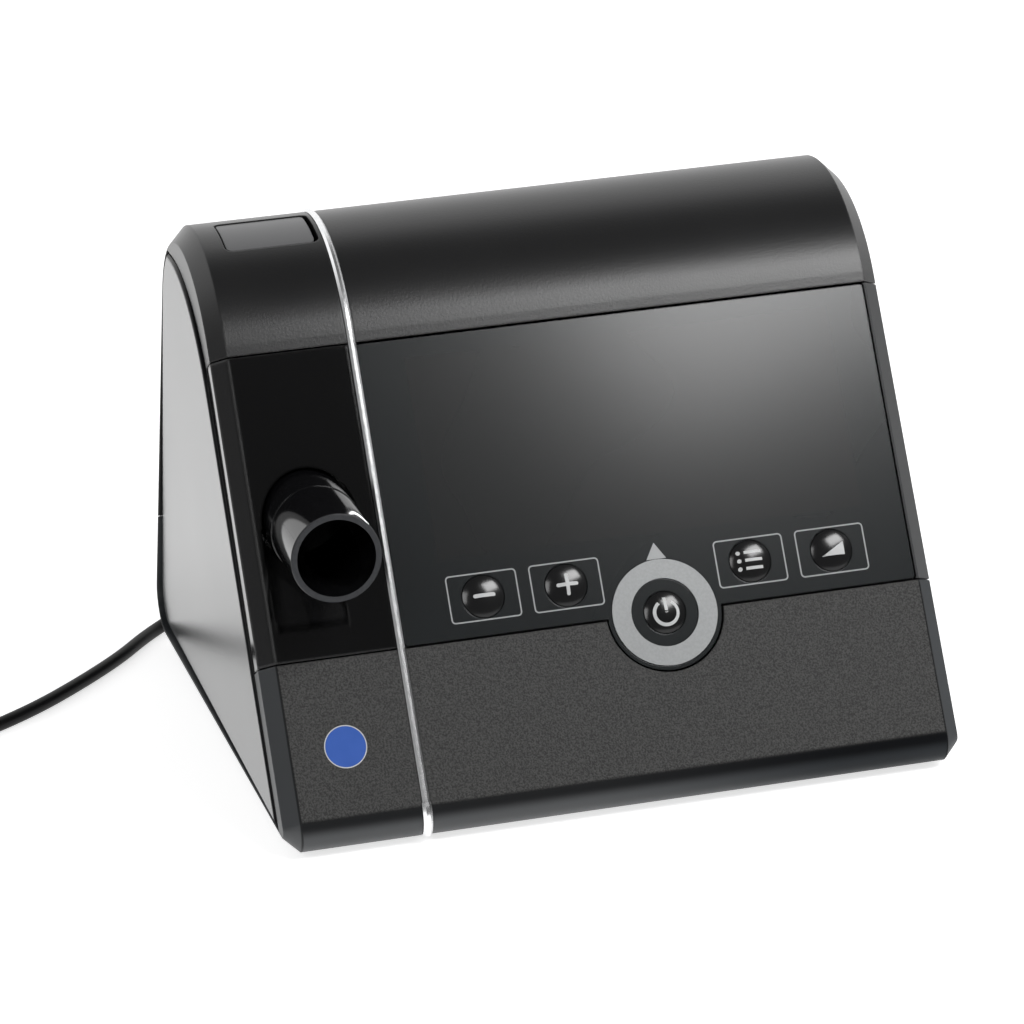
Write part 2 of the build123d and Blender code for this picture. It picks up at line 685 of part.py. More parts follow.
def display_film():
    body = face_plate(film_sketch(0), -FILM_BACK, -FILM_SINK)
    body -= face_plate(keys_sketch(KEY_R + KEY_PLAY), -FILM_BACK - 1, 10)
    ring_seat = Circle(RING_OUT + FIT / 2) - Circle(RING_IN - FIT / 2)
    return body - face_plate(Pos(POWER_X, POWER_S) * ring_seat, -FILM_SINK - RING_T / 2, 10)


def power_ring():
    ring = Circle(RING_OUT) - Circle(RING_IN)
    top = -FILM_SINK + RING_T / 2
    return face_plate(Pos(POWER_X, POWER_S) * ring, -FILM_SINK - RING_T / 2, top)


def key(x, s):
    """Domed key: a cap that rises through the film, and a flange behind the carrier."""
    ball = (KEY_R ** 2 + KEY_DOME ** 2) / (2 * KEY_DOME)
    top = -FILM_SINK + KEY_DOME
    dome = FACE * Pos(x, s, top - ball) * Sphere(ball)
    rest = -FRAME_T - KEY_REST
    low = rest - KEY_RIM
    body = face_rod(x, s, low, top, KEY_R) & (dome + face_rod(x, s, low, -FILM_SINK, KEY_R))
    return body + face_rod(x, s, low, rest, KEY_R + KEY_RIM)


def lcd_module():
    x = (LCD_X[0] - LCD_LAP, LCD_X[1] + LCD_LAP)
    s = (LCD_S[0] - LCD_LAP, LCD_S[1] + LCD_LAP)
    body = on_face(x, s, (-FRAME_T - LCD_T, -FRAME_T))
    gap = LCD_GLASS_GAP
    glass_x = (LCD_X[0] + gap, LCD_X[1] - gap)
    glass_s = (LCD_S[0] + gap, LCD_S[1] - gap)
    glass = on_face(glass_x, glass_s, (-FRAME_T, -FILM_BACK - 0.2))
    back = -FRAME_T - LCD_T
    plug = on_face((10, 30), (LCD_S[0], LCD_S[0] + 14), (back - 1.2, back))
    return body + glass + plug


def key_board():
    """Keypad board with a dome switch under each key."""
    s = (KEY_BOARD_S, LCD_S[0] - LCD_LAP - 0.5)
    body = on_face(KEY_BOARD_X, s, (-BOARD_N - BOARD_T, -BOARD_N))
    switch_top = -FRAME_T - KEY_REST - KEY_RIM - KEY_TRAVEL - SWITCH_GAP
    spots = list((x, KEY_S) for x in KEY_XS.values()) + [(POWER_X, POWER_S)]
    for px, ps in spots:
        body += face_rod(px, ps, -BOARD_N, switch_top, SWITCH_R)
    body += on_face((-6, 8), (KEY_BOARD_S + 2, KEY_BOARD_S + 6), (-BOARD_N, -BOARD_N + 2.4))
    for px, ps in frame_posts():
        body -= face_rod(px, ps, -BOARD_N - 3, -BOARD_N + 1, FRAME_PILOT_R + 0.2)
    return body


def frame_screws():
    body = Part()
    seat = -BOARD_N - BOARD_T
    for x, s in frame_posts():
        head = face_rod(x, s, seat - FRAME_SCREW_HEAD_H, seat, FRAME_SCREW_HEAD_R)
        body += head + face_rod(x, s, seat - 0.2, -FRAME_T - 1.2, FRAME_SCREW_R)
    return body


def outlet_tube():
    """22 mm outlet: open tube, stepped down behind the pocket where the duct slips on."""
    rear = POCKET_FLOOR_Y + CUP_WALL
    body = cup(TUBE_R, rear + 0.6)
    root_y = MOUTH_Y + TUBE_FREE
    body += rod((PORT_X, root_y, PORT_Z), (PORT_X, rear + 0.6, PORT_Z), TUBE_R + TUBE_SHOULDER)
    body += rod((PORT_X, rear + FIT, PORT_Z), (PORT_X, rear + TUBE_FLANGE_T, PORT_Z), TUBE_R + TUBE_FLANGE)
    body += rod((PORT_X, rear, PORT_Z), (PORT_X, rear + TUBE_STUB, PORT_Z), DUCT_R - DUCT_WALL - FIT / 2)
    mouth = body.edges().filter_by(GeomType.CIRCLE).sort_by(Axis.Y)[0]
    body = chamfer(mouth, 0.3)
    body -= rod((PORT_X, MOUTH_Y - 1, PORT_Z), (PORT_X, rear, PORT_Z), BORE_R)
    stub_end = rear + TUBE_STUB + 1
    return body - rod((PORT_X, rear - 1, PORT_Z), (PORT_X, stub_end, PORT_Z), DUCT_R - 2 * DUCT_WALL)


# ---- chrome strip
def strip_body(half, proud):
    """A two-facet strip that follows the casing outline."""
    body = side_prism(outline(-proud), STRIP_X - half, STRIP_X + half)
    sides = body.faces().sort_by(Axis.X)
    body = chamfer(sides[0].edges() + sides[-1].edges(), 0.62 * half)
    return body - side_prism(outline(STRIP_SEAT), -SIDE, SIDE)


def chrome_strip():
    body = strip_body(STRIP_W / 2, STRIP_PROUD)
    body -= on_face((-SIDE, SIDE), (-20, STRIP_END_S + FIT), (-DEPTH / 3, DEPTH))
    body -= block((-SIDE, SIDE), (0, DEPTH), (-5, SPLIT_Z + SEAM / 2))
    return body - block((-SIDE, SIDE), (-DEPTH, DEPTH), (-5, FOOT_GAP + NOSE_R / 2))


def chrome_strip_end():
    body = strip_body(STRIP_END_W / 2, STRIP_PROUD + 0.2)
    body &= on_face((-SIDE, SIDE), (0, STRIP_END_S), (-DEPTH / 3, DEPTH))
    return body & block((-SIDE, SIDE), (-DEPTH, 0), (FOOT_GAP + 1.0, HEIGHT))


# ---- side cover
def side_cover():
    """Cover plate, not quite parallel to the side, with a rim behind it and two hooks."""
    back = BAY_X - COVER_REST
    body = side_prism(cover_outline(0), -SIDE - BAY_DEPTH, back)
    outward = (-1, tan(radians(COVER_YAW)), -tan(radians(COVER_LEAN)))
    skin = Plane(origin=(-SIDE - COVER_PROUD, 0, COVER_MID_Z), z_dir=outward)
    body -= skin * Pos(0, 0, DEPTH / 2) * Box(2 * DEPTH, 2 * DEPTH, DEPTH)
    body = fillet(body.faces().sort_by(Axis.X)[0].edges(), COVER_ROUND)
    rim = side_prism(cover_outline(0), back, BAY_X - RIM_GAP)
    body += rim - side_prism(cover_outline(-RIM_T), -SIDE, SIDE)
    return body + hooks((back, BAY_X + BAY_WALL / 2), 0)


def hooks(x, grow):
    """The cover's two hooks, or grown by their play the slots for them."""
    half_y = HOOK_W / 2 + grow
    half_z = HOOK_T / 2 + grow
    return Part() + [block(x, (y - half_y, y + half_y), (z - half_z, z + half_z)) for y, z in HOOK_SPOTS]


# ---- humidifier connection
def humidifier_port():
    """Round air port behind the side cover, ending at the outlet duct."""
    start = (BAY_X - 0.4, HUM_Y, HUM_Z)
    end = (PORT_X - DUCT_R - 0.3, HUM_Y, HUM_Z)
    body = rod(start, end, HUM_R)
    body += rod((INNER_LEFT + FIT / 2, HUM_Y, HUM_Z), end, HUM_R + HUM_FLANGE)
    return body - rod((BAY_X - 1, HUM_Y, HUM_Z), (end[0] - HUM_FLANGE, HUM_Y, HUM_Z), HUM_R - HUM_SEAL)


def humidifier_contacts():
    y, z = contact_window(0)
    back = INNER_LEFT + CONTACTS_DEEP
    body = block((BAY_X - RIM_GAP, back), y, z)
    wide_y, wide_z = contact_window(CONTACTS_FLANGE)
    body += block((INNER_LEFT + FIT, back), wide_y, wide_z)
    slot_z = (z[0] + CONTACT_EDGE, z[1] - CONTACT_EDGE)
    first = (y[0] + y[1] - CONTACT_PITCH * (CONTACT_COUNT - 1) - CONTACT_W) / 2
    for k in range(CONTACT_COUNT):
        low = first + CONTACT_PITCH * k
        body -= block((BAY_X - 1, BAY_X + BAY_WALL), (low, low + CONTACT_W), slot_z)
    return body


# ---- release button and latch
def button_x(clear):
    return BUTTON_X[0] - clear * BUTTON_GAP, BUTTON_X[1] + clear * BUTTON_GAP_RIGHT


def button_column(clear):
    x = button_x(clear)
    y = (BUTTON_Y[0] - clear * BUTTON_GAP, BUTTON_Y[1] + clear * BUTTON_GAP)
    plan = RectangleRounded(x[1] - x[0], y[1] - y[0], BUTTON_ROUND + clear * BUTTON_GAP)
    low = HEIGHT - CROWN_R / 2
    return extrude(Pos((x[0] + x[1]) / 2, (y[0] + y[1]) / 2, low) * plan, CROWN_R)


def release_button():
    """Curved cap that follows the crown, on a stem."""
    body = side_prism(outline(BUTTON_SINK), *BUTTON_X) & button_column(0)
    body -= side_prism(outline(BUTTON_SINK + BUTTON_T), -SIDE, SIDE)
    stem = block(LATCH_X, LATCH_Y, (LATCH_Z + LATCH_H, HEIGHT - BUTTON_T))
    return body + (stem & side_prism(outline(BUTTON_SINK + BUTTON_T / 2), -SIDE, SIDE))


def release_latch():
    """Bar under the stem that reaches the bay wall with its nose."""
    root = INNER_LEFT + SEAM
    bar = block((root, LATCH_X[1] + 2), (LATCH_Y[0] - 1, LATCH_Y[1] + 1), (LATCH_Z, LATCH_Z + LATCH_H))
    nose_z = (LATCH_Z + LATCH_NOSE_INSET, LATCH_Z + LATCH_H - LATCH_NOSE_INSET)
    return bar + block((BAY_X + SEAM, root), (LATCH_Y[0] + 1, LATCH_Y[1] - 1), nose_z)


def latch_guide():
    """Bracket on the crown shell that the latch bar slides in, over a spring seat."""
    x = (INNER_LEFT - 1, LATCH_X[1] + 2)
    inner = (LATCH_Y[0] - 1 - LATCH_SIDE_GAP, LATCH_Y[1] + 1 + LATCH_SIDE_GAP)
    outer = (inner[0] - GUIDE_T, inner[1] + GUIDE_T)
    low = LATCH_Z - GUIDE_DROP
    body = block(x, outer, (low - GUIDE_T, LATCH_Z + GUIDE_RISE))
    body -= block(x, inner, (low, LATCH_Z + GUIDE_RISE))
    return body - latch_slot()


def latch_slot():
    """Slot in the bay wall that the latch nose travels in."""
    nose_y = (LATCH_Y[0] + 0.5, LATCH_Y[1] - 0.5)
    return block((BAY_X - 1, INNER_LEFT + 1), nose_y, (LATCH_Z + 0.2 - BUTTON_TRAVEL, LATCH_Z + 3.8))


def release_spring():
    """Compression spring under the latch bar."""
    path = Helix(pitch=SPRING_H / SPRING_TURNS, height=SPRING_H, radius=SPRING_R)
    centre = ((LATCH_X[0] + LATCH_X[1]) / 2, (LATCH_Y[0] + LATCH_Y[1]) / 2)
    wire = Plane(origin=path @ 0, z_dir=path % 0) * Circle(SPRING_WIRE_R)
    low = LATCH_Z - GUIDE_DROP + SPRING_WIRE_R
    return Pos(centre[0], centre[1], low) * sweep(wire, path=path)


# ---- back: filter
def filter_area(grow):
    x = (FILTER_X - FILTER_W / 2 - grow, FILTER_X + FILTER_W / 2 + grow)
    t = (FILTER_LOW - grow, FILTER_LOW + FILTER_H + grow)
    return x, t


def filter_pocket():
    """Walls of the pocket that holds the filter pad behind its cover."""
    x, t = filter_area(FIT + WALL / 2)
    return on_back(x, t, (-FILTER_COVER_T - FILTER_PAD_T - FILTER_WALL, 0))


def filter_hollow():
    """Seat of the cover, pocket of the pad and the grille openings behind it."""
    x, t = filter_area(FIT)
    seat = on_back(x, t, (-FILTER_COVER_T - FIT, 20))
    x, t = filter_area(-FILTER_LAP)
    hollow = seat + on_back(x, t, (-FILTER_COVER_T - FILTER_PAD_T - 0.3, 0))
    pitch = (x[1] - x[0]) / GRILLE_OPENINGS
    for k in range(GRILLE_OPENINGS):
        gap = (x[0] + k * pitch + GRILLE_BAR / 2, x[0] + (k + 1) * pitch - GRILLE_BAR / 2)
        hollow += on_back(gap, (t[0] + GRILLE_BAR, t[1] - GRILLE_BAR), (-DEPTH / 4, 0))
    return hollow


def filter_cover():
    x, t = filter_area(0)
    body = on_back(x, t, (-FILTER_COVER_T, 0))
    body = fillet(body.edges().filter_by(Axis(origin=(0, 0, 0), direction=BACK.z_dir)), FILTER_CORNER)
    pitch = (FILTER_H - 2 * LOUVRE_EDGE) / LOUVRES
    for k in range(LOUVRES):
        low = t[0] + LOUVRE_EDGE + (k + 0.5) * pitch - LOUVRE_W / 2
        body -= on_back((x[0] + LOUVRE_SIDE, x[1] - LOUVRE_SIDE), (low, low + LOUVRE_W), (-10, 10))
    return body


def air_filter():
    x, t = filter_area(-FILTER_LAP - 0.2)
    return on_back(x, t, (-FILTER_COVER_T - FILTER_PAD_T - 0.2, -FILTER_COVER_T - 0.2))


# ---- blower
def scroll_sketch(r):
    """Round chamber that widens into a straight outlet on its back side."""
    ring = Circle(r)
    outlet_w = 2 * DUCT_R
    outlet = Pos(-r, r + SCROLL_GROWTH - outlet_w / 2) * Rectangle(2 * r, outlet_w)
    swell = Pos(-SCROLL_GROWTH / 2, SCROLL_GROWTH) * Circle(r)
    return Pos(BLOWER_X, BLOWER_Y) * (ring + swell + outlet)


def scroll_outlet_x():
    return BLOWER_X - 2 * SCROLL_R


def scroll_outlet_y():
    return BLOWER_Y + SCROLL_R + SCROLL_GROWTH - DUCT_R


def blower_housing():
    """Open scroll with the motor seat in its floor."""
    outer = extrude(Pos(0, 0, BLOWER_Z) * scroll_sketch(SCROLL_R), BLOWER_H)
    inner = offset(scroll_sketch(SCROLL_R), amount=-SCROLL_WALL)
    body = outer - extrude(Pos(0, 0, BLOWER_Z + SCROLL_WALL) * inner, BLOWER_H)
    exit_y = scroll_outlet_y()
    exit_z = BLOWER_Z + BLOWER_H / 2
    exit_x = scroll_outlet_x()
    body -= rod((exit_x - 1, exit_y, exit_z), (exit_x + SCROLL_R, exit_y, exit_z), DUCT_R - SCROLL_WALL)
    return body - rod((BLOWER_X, BLOWER_Y, 0), (BLOWER_X, BLOWER_Y, BLOWER_Z + MOTOR_BOSS_H), MOTOR_HOLE_R)


def blower_cover():
    top = BLOWER_Z + BLOWER_H
    body = extrude(Pos(0, 0, top) * scroll_sketch(SCROLL_R), SCROLL_WALL)
    body += rod((BLOWER_X, BLOWER_Y, top), (BLOWER_X, BLOWER_Y, INTAKE_Z), EYE_R + SCROLL_WALL)
    return body - rod((BLOWER_X, BLOWER_Y, top - 1), (BLOWER_X, BLOWER_Y, INTAKE_Z + 1), EYE_R)



def blower_motor():
    """Flat motor on the scroll's floor, with its boss below and shaft above."""
    base = BLOWER_Z + SCROLL_WALL
    seat = (BLOWER_X, BLOWER_Y, base)
    body = rod(seat, (BLOWER_X, BLOWER_Y, base + MOTOR_H), MOTOR_R)
    body += rod((BLOWER_X, BLOWER_Y, base - MOTOR_BOSS_H), seat, MOTOR_BOSS_R)
    return body + rod(seat, (BLOWER_X, BLOWER_Y, base + SHAFT_L), SHAFT_R)


def impeller():
    """Radial wheel: back plate, backward curved blades, hub on the motor shaft."""
    base = BLOWER_Z + SCROLL_WALL + MOTOR_H + WHEEL_GAP
    height = WHEEL_H
    body = rod((0, 0, base), (0, 0, base + WHEEL_PLATE), IMPELLER_R)
    body += rod((0, 0, base), (0, 0, base + height - 2), HUB_R)
    blade_r = 0.8 * IMPELLER_R
    bend = Circle(blade_r) - Circle(blade_r - BLADE_T)
    keep = Rectangle(IMPELLER_R, IMPELLER_R, align=(Align.MIN, Align.MIN))
    blade = Pos(0.35 * IMPELLER_R, -blade_r) * bend & (Circle(IMPELLER_R - 0.5) - Circle(HUB_R + 1.5)) & (
        Pos(0, -0.7 * IMPELLER_R) * keep
    )
    solid = extrude(Pos(0, 0, base + 1.0) * blade, height - 1.0)
    for k in range(BLADES):
        body += Rot(0, 0, 360 * k / BLADES) * solid
    body -= rod((0, 0, base - 1), (0, 0, base + height + 1), SHAFT_R + SHAFT_FIT)
    return Pos(BLOWER_X, BLOWER_Y, 0) * body


def blower_mounts():
    """Three soft posts between floor sockets and scroll."""
    body = Part()
    for x, y in mount_spots():
        body += rod((x, y, FLOOR_Z), (x, y, FLOOR_Z + MOUNT_FOOT_H), MOUNT_R)
        body += rod((x, y, FLOOR_Z + MOUNT_FOOT_H), (x, y, BLOWER_Z), MOUNT_NECK_R)
    return body


def duct_path():
    """Middle line of the duct: from the scroll along the back, up, and forward to the tube."""
    y = scroll_outlet_y()
    z = BLOWER_Z + BLOWER_H / 2
    end_y = POCKET_FLOOR_Y + CUP_WALL + 2.0
    corners = [(scroll_outlet_x(), y, z), (PORT_X, y, z), (PORT_X, y, PORT_Z), (PORT_X, end_y, PORT_Z)]
    return FilletPolyline(*corners, radius=DUCT_BEND * DUCT_R)


def outlet_duct():
    path = duct_path()
    ring = Plane(origin=path @ 0, z_dir=path % 0) * (Circle(DUCT_R) - Circle(DUCT_R - DUCT_WALL))
    return sweep(ring, path=path)


def intake_duct():
    """Low box that leads air from the filter pocket over the blower's eye."""
    x = (FILTER_X - FILTER_W / 2 + INTAKE_SIDE, FILTER_X + FILTER_W / 2 - INTAKE_SIDE)
    y = (BLOWER_Y - EYE_R - INTAKE_LEAD, DEPTH)
    z = (INTAKE_Z, INTAKE_Z + INTAKE_H)
    wall = INTAKE_WALL
    inner = (x[0] + wall, x[1] - wall), (y[0] + wall, DEPTH), (z[0] + wall, z[1] - wall)
    limit = block(x, (-DEPTH, DEPTH), z) - on_back((-SIDE, SIDE), (-DEPTH, DEPTH), (-INTAKE_STOP, DEPTH))
    body = (block(x, y, z) - block(*inner)) & limit
    low = (y[0] - 1, z[0] + INTAKE_RAMP_Z)
    top = (y[0] - 1, z[1] + 1)
    far = (y[0] + INTAKE_RAMP_Y, z[1] + 1)
    body -= side_prism(make_face(Polyline(low, top, far, close=True)), x[0], x[1])
    return body - rod((BLOWER_X, BLOWER_Y, z[0] - 1), (BLOWER_X, BLOWER_Y, z[0] + 2), EYE_R)



# ---- boards, inlet, fasteners, feet
def main_board():
    """Main board with its larger components."""
    x, y = board_area()
    top = BOARD_Z + BOARD_T
    body = block(x, y, (BOARD_Z, top))
    for k in range(3):
        cx = x[0] + CAP_PITCH * (k + 1)
        cy = y[0] + CHIP_W * (2 * k + 1.5)
        chip_z = (top - 0.1, top + CHIP_H)
        body += block((cx - CHIP_W / 2, cx + CHIP_W / 2), (cy - CHIP_W / 2, cy + CHIP_W / 2), chip_z)
        body += rod((cx, y[1] - CHIP_W, top - 0.1), (cx, y[1] - CHIP_W, top + CAP_H), CAP_R)
    for px, py in board_spots():
        body -= rod((px, py, 0), (px, py, BOARD_Z + 5), SCREW_R + 0.1)
    return body


def board_screws():
    top = BOARD_Z + BOARD_T
    body = Part()
    for x, y in board_spots():
        body += rod((x, y, BOARD_Z - 3), (x, y, top), SCREW_R - 0.05)
        body += rod((x, y, top), (x, y, top + BOARD_SCREW_HEAD_H), SCREW_HEAD_R)
    return body


def housing_screws():
    seat = SPLIT_Z - SEAM / 2 - SCREW_SINK
    body = Part()
    for x in POST_X:
        for y in POST_Y:
            screw = rod((x, y, seat - SCREW_HEAD_H), (x, y, seat), SCREW_HEAD_R)
            screw += rod((x, y, seat - 0.1), (x, y, seat + SCREW_L), SCREW_R - 0.05)
            body += screw - rod((x, y, seat - SCREW_HEAD_H - 1), (x, y, seat - 0.9), SCREW_HEX_R)
    return body


def rubber_feet():
    body = foot_discs(0, FOOT_GAP + FOOT_SINK, FOOT_R)
    low = body.edges().filter_by(GeomType.CIRCLE).group_by(Axis.Z)[0]
    return chamfer(low, 0.5)


def dc_inlet():
    """Round power socket behind the recess wall, with its centre pin."""
    wall_y = INLET_Y - WALL
    half = SOCKET_BODY / 2
    x = (INLET_X - half, INLET_X + half)
    z = (INLET_Z - half, INLET_Z + half)
    body = rod((INLET_X, wall_y, INLET_Z), (INLET_X, INLET_Y, INLET_Z), SOCKET_R)
    body += block(x, (wall_y - SOCKET_DEEP, wall_y), z)
    hole_end = wall_y - BARREL_L - 2
    body -= rod((INLET_X, hole_end, INLET_Z), (INLET_X, INLET_Y + 1, INLET_Z), BARREL_R + FIT)
    return body + rod((INLET_X, hole_end - 1, INLET_Z), (INLET_X, INLET_Y - 1, INLET_Z), PIN_R)


def dc_plug():
    """Angled moulded plug: barrel in the socket, arm along the back towards the left."""
    front = INLET_Y + 0.3
    body = rod((INLET_X, front, INLET_Z), (INLET_X, PLUG_Y, INLET_Z), PLUG_R)
    body += rod((INLET_X, PLUG_Y, INLET_Z), (RELIEF_X, PLUG_Y, INLET_Z), PLUG_R)
    body += Pos(INLET_X, PLUG_Y, INLET_Z) * Sphere(PLUG_R)
    tip = INLET_Y - WALL - BARREL_L
    body += rod((INLET_X, tip, INLET_Z), (INLET_X, front, INLET_Z), BARREL_R)
    return body - rod((INLET_X, tip - 1, INLET_Z), (INLET_X, front - 0.5, INLET_Z), PIN_HOLE_R)


def cord_strain_relief():
    return rod((RELIEF_X, PLUG_Y, INLET_Z), (EXIT_X, PLUG_Y, INLET_Z), *RELIEF_RS)


# ---- lead
CORD_ROUTE = [
    (EXIT_X, PLUG_Y, INLET_Z),
    (EXIT_X - 11.0, PLUG_Y, INLET_Z),
    (-59.0, 93.8, 19.2),
    (-68.0, 95.2, 10.6),
    (-76.2, 94.9, 4.0),
    (-84.4, 90.4, CORD_Z),
    (-90.6, 82.4, CORD_Z),
    (-98.6, 70.2, CORD_Z),
    (-111.2, 55.0, CORD_Z),
    (-125.8, 39.6, CORD_Z),
    (-141.6, 27.2, CORD_Z),
    (-158.5, 18.5, CORD_Z),
]
TAIL_ROUTE = [
    (COIL_OUT_X, COIL_Y + 1.1, 11.9),
    (COIL_OUT_X, COIL_Y + 13.1, 8.6),
    (COIL_OUT_X - 7.7, COIL_Y + 23.7, 4.6),
    (COIL_OUT_X - 20.1, COIL_Y + 27.7, 2.2),
    (COIL_OUT_X - 32.5, COIL_Y + 23.7, 2.6),
    (SUPPLY_X, COIL_Y + 13.1, 7.0),
    (SUPPLY_X, COIL_Y + 0.1, 12.3),
    (SUPPLY_X, COIL_Y - 12.9, SUPPLY_H / 2),
    (SUPPLY_X, SUPPLY_Y + SUPPLY_L / 2 + SUPPLY_RELIEF_L, SUPPLY_H / 2),
]


def cord_tube(route, name):
    """A round lead along straight runs joined by tangent arcs."""
    points = [Vector(*p) for p in route]
    radii = []
    for before, here, after in zip(points, points[1:], points[2:]):
        run = min((here - before).length, (after - here).length)
        turn = radians((here - before).get_angle(after - here))
        radii.append(0.45 * run / tan(turn / 2))
    print(name, "radii", [round(r, 1) for r in radii])
    path = FilletPolyline(*route, radius=radii)
    tube = sweep(Plane(origin=path @ 0, z_dir=path % 0) * Circle(CORD_R), path=path)
    print(name, "length", round(path.length, 1), "volume", round(tube.volume, 1),
          "section x length", round(pi * CORD_R ** 2 * path.length, 1))
    return tube


def cord_coil():
    """Outer shape of the wound lead: a round flat-topped ring."""
    section = Pos(COIL_MEAN_R, COIL_H / 2) * RectangleRounded(COIL_W, COIL_H, COIL_ROUND)
    return Pos(COIL_X, COIL_Y, 0) * revolve(Plane.XZ * section, Axis.Z)


def cord_tie():
    """Tie round the coil's near side."""
    near = COIL_W / 2 + TIE_GAP
    far = near + TIE_T
    outer = block((-far, far), (-TIE_W / 2, TIE_W / 2), (0, COIL_H + TIE_GAP + TIE_T))
    inner = block((-near, near), (-TIE_W, TIE_W), (-1, COIL_H + TIE_GAP))
    return Pos(COIL_X, COIL_Y + COIL_MEAN_R, 0) * Rot(0, 0, 90) * (outer - inner)


def supply_half(z0, z1):
    plan = RectangleRounded(SUPPLY_W, SUPPLY_L, SUPPLY_CORNER)
    return Pos(SUPPLY_X, SUPPLY_Y, z0) * extrude(plan, z1 - z0)


def power_supply_case():
    """Upper half of the power supply, rounded on top."""
    middle = SUPPLY_H / 2
    body = supply_half(middle, SUPPLY_H)
    top = body.faces().sort_by(Axis.Z)[-1]
    body = fillet(top.edges(), SUPPLY_TOP_ROUND)
    return body - supply_cuts()


def power_supply_base():
    middle = SUPPLY_H / 2
    body = supply_half(0, middle - SEAM)
    bottom = body.faces().sort_by(Axis.Z)[0]
    body = fillet(bottom.edges(), SUPPLY_BASE_ROUND)
    return body + supply_half(middle - SEAM, middle) - supply_half_edge() - supply_cuts()


def supply_half_edge():
    """Groove between the two halves."""
    groove = extrude(RectangleRounded(SUPPLY_W + 2, SUPPLY_L + 2, SUPPLY_CORNER), SEAM)
    groove -= extrude(RectangleRounded(SUPPLY_W - 1, SUPPLY_L - 1, SUPPLY_CORNER - 0.5), SEAM)
    return Pos(SUPPLY_X, SUPPLY_Y, SUPPLY_H / 2 - SEAM) * groove


def supply_cuts():
    """Holes for the lead's relief and the mains socket in the two ends."""
    z = SUPPLY_H / 2
    end = SUPPLY_Y + SUPPLY_L / 2
    cuts = rod((SUPPLY_X, end - SUPPLY_RELIEF_SEAT, z), (SUPPLY_X, end + 1, z), SUPPLY_RELIEF_R + FIT)
    near = SUPPLY_Y - SUPPLY_L / 2
    half_x = MAINS_W / 2 + FIT
    half_z = MAINS_H / 2 + FIT
    x = (SUPPLY_X - half_x, SUPPLY_X + half_x)
    return cuts + block(x, (near - 1, near + MAINS_DEEP), (z - half_z, z + half_z))


def supply_relief():
    z = SUPPLY_H / 2
    end = SUPPLY_Y + SUPPLY_L / 2
    seat = end - SUPPLY_RELIEF_SEAT + FIT
    body = rod((SUPPLY_X, seat, z), (SUPPLY_X, end + 0.5, z), SUPPLY_RELIEF_R)
    return body + rod((SUPPLY_X, end + 0.5, z), (SUPPLY_X, end + SUPPLY_RELIEF_L, z), *RELIEF_RS)


def mains_socket():
    """Two-pole mains inlet in the near end."""
    z = SUPPLY_H / 2
    near = SUPPLY_Y - SUPPLY_L / 2
    x = (SUPPLY_X - MAINS_W / 2, SUPPLY_X + MAINS_W / 2)
    body = block(x, (near, near + MAINS_DEEP - FIT), (z - MAINS_H / 2, z + MAINS_H / 2))
    hollow = Plane(origin=(SUPPLY_X, near, z), z_dir=(0, 1, 0)) * RectangleRounded(*MAINS_HOLE, MAINS_HOLE_R)
    body -= extrude(hollow, MAINS_HOLE_DEEP)
    for side in (-MAINS_PIN_X, MAINS_PIN_X):
        start = (SUPPLY_X + side, near + 2, z)
        body += rod(start, (SUPPLY_X + side, near + MAINS_HOLE_DEEP + 1, z), MAINS_PIN_R)
    return body


def build():
    os.makedirs("parts", exist_ok=True)
    shell = casing_shell()
    shell -= hooks((BAY_X - 1, INNER_LEFT + 1), HOOK_PLAY)
    shell -= latch_slot()
    save("lower_housing", lower_housing(shell))
    save("top_housing", top_housing(shell))
    save("front_frame", front_frame())
    save("port_panel", port_panel())
    save("outlet_tube", outlet_tube())
    save("display_film", display_film())
    save("power_ring", power_ring())
    for name, x in KEY_XS.items():
        save(name, key(x, KEY_S))
    save("key_power", key(POWER_X, POWER_S))
    save("chrome_strip", chrome_strip())
    save("chrome_strip_end", chrome_strip_end())
    save("side_cover", side_cover())
    save("humidifier_port", humidifier_port())
    save("humidifier_contacts", humidifier_contacts())
    save("release_button", release_button())
    save("release_latch", release_latch())
    save("release_spring", release_spring())
    save("lcd_module", lcd_module())
    save("key_board", key_board())
    save("frame_screws", frame_screws())
    save("filter_cover", filter_cover())
    save("air_filter", air_filter())
    save("blower_housing", blower_housing())
    save("blower_cover", blower_cover())
    save("blower_motor", blower_motor())
    save("impeller", impeller())
    save("blower_mounts", blower_mounts())
    save("outlet_duct", outlet_duct())
    save("intake_duct", intake_duct())
    save("main_board", main_board())
    save("board_screws", board_screws())
    save("housing_screws", housing_screws())
    save("rubber_feet", rubber_feet())
    save("dc_inlet", dc_inlet())
    save("dc_plug", dc_plug())
    save("cord_strain_relief", cord_strain_relief())
    coil = cord_coil()
    save("power_cord", cord_tube(CORD_ROUTE, "power_cord") - coil)
    save("cord_coil", coil)
    save("power_cord_tail", cord_tube(TAIL_ROUTE, "power_cord_tail") - coil)
    save("cord_tie", cord_tie())
    save("power_supply_case", power_supply_case())
    save("power_supply_base", power_supply_base())
    save("supply_relief", supply_relief())
    save("mains_socket", mains_socket())


build()
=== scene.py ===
import bpy
import json
from math import cos, pi, radians, sin, sqrt, tau
from mathutils import Matrix, Vector


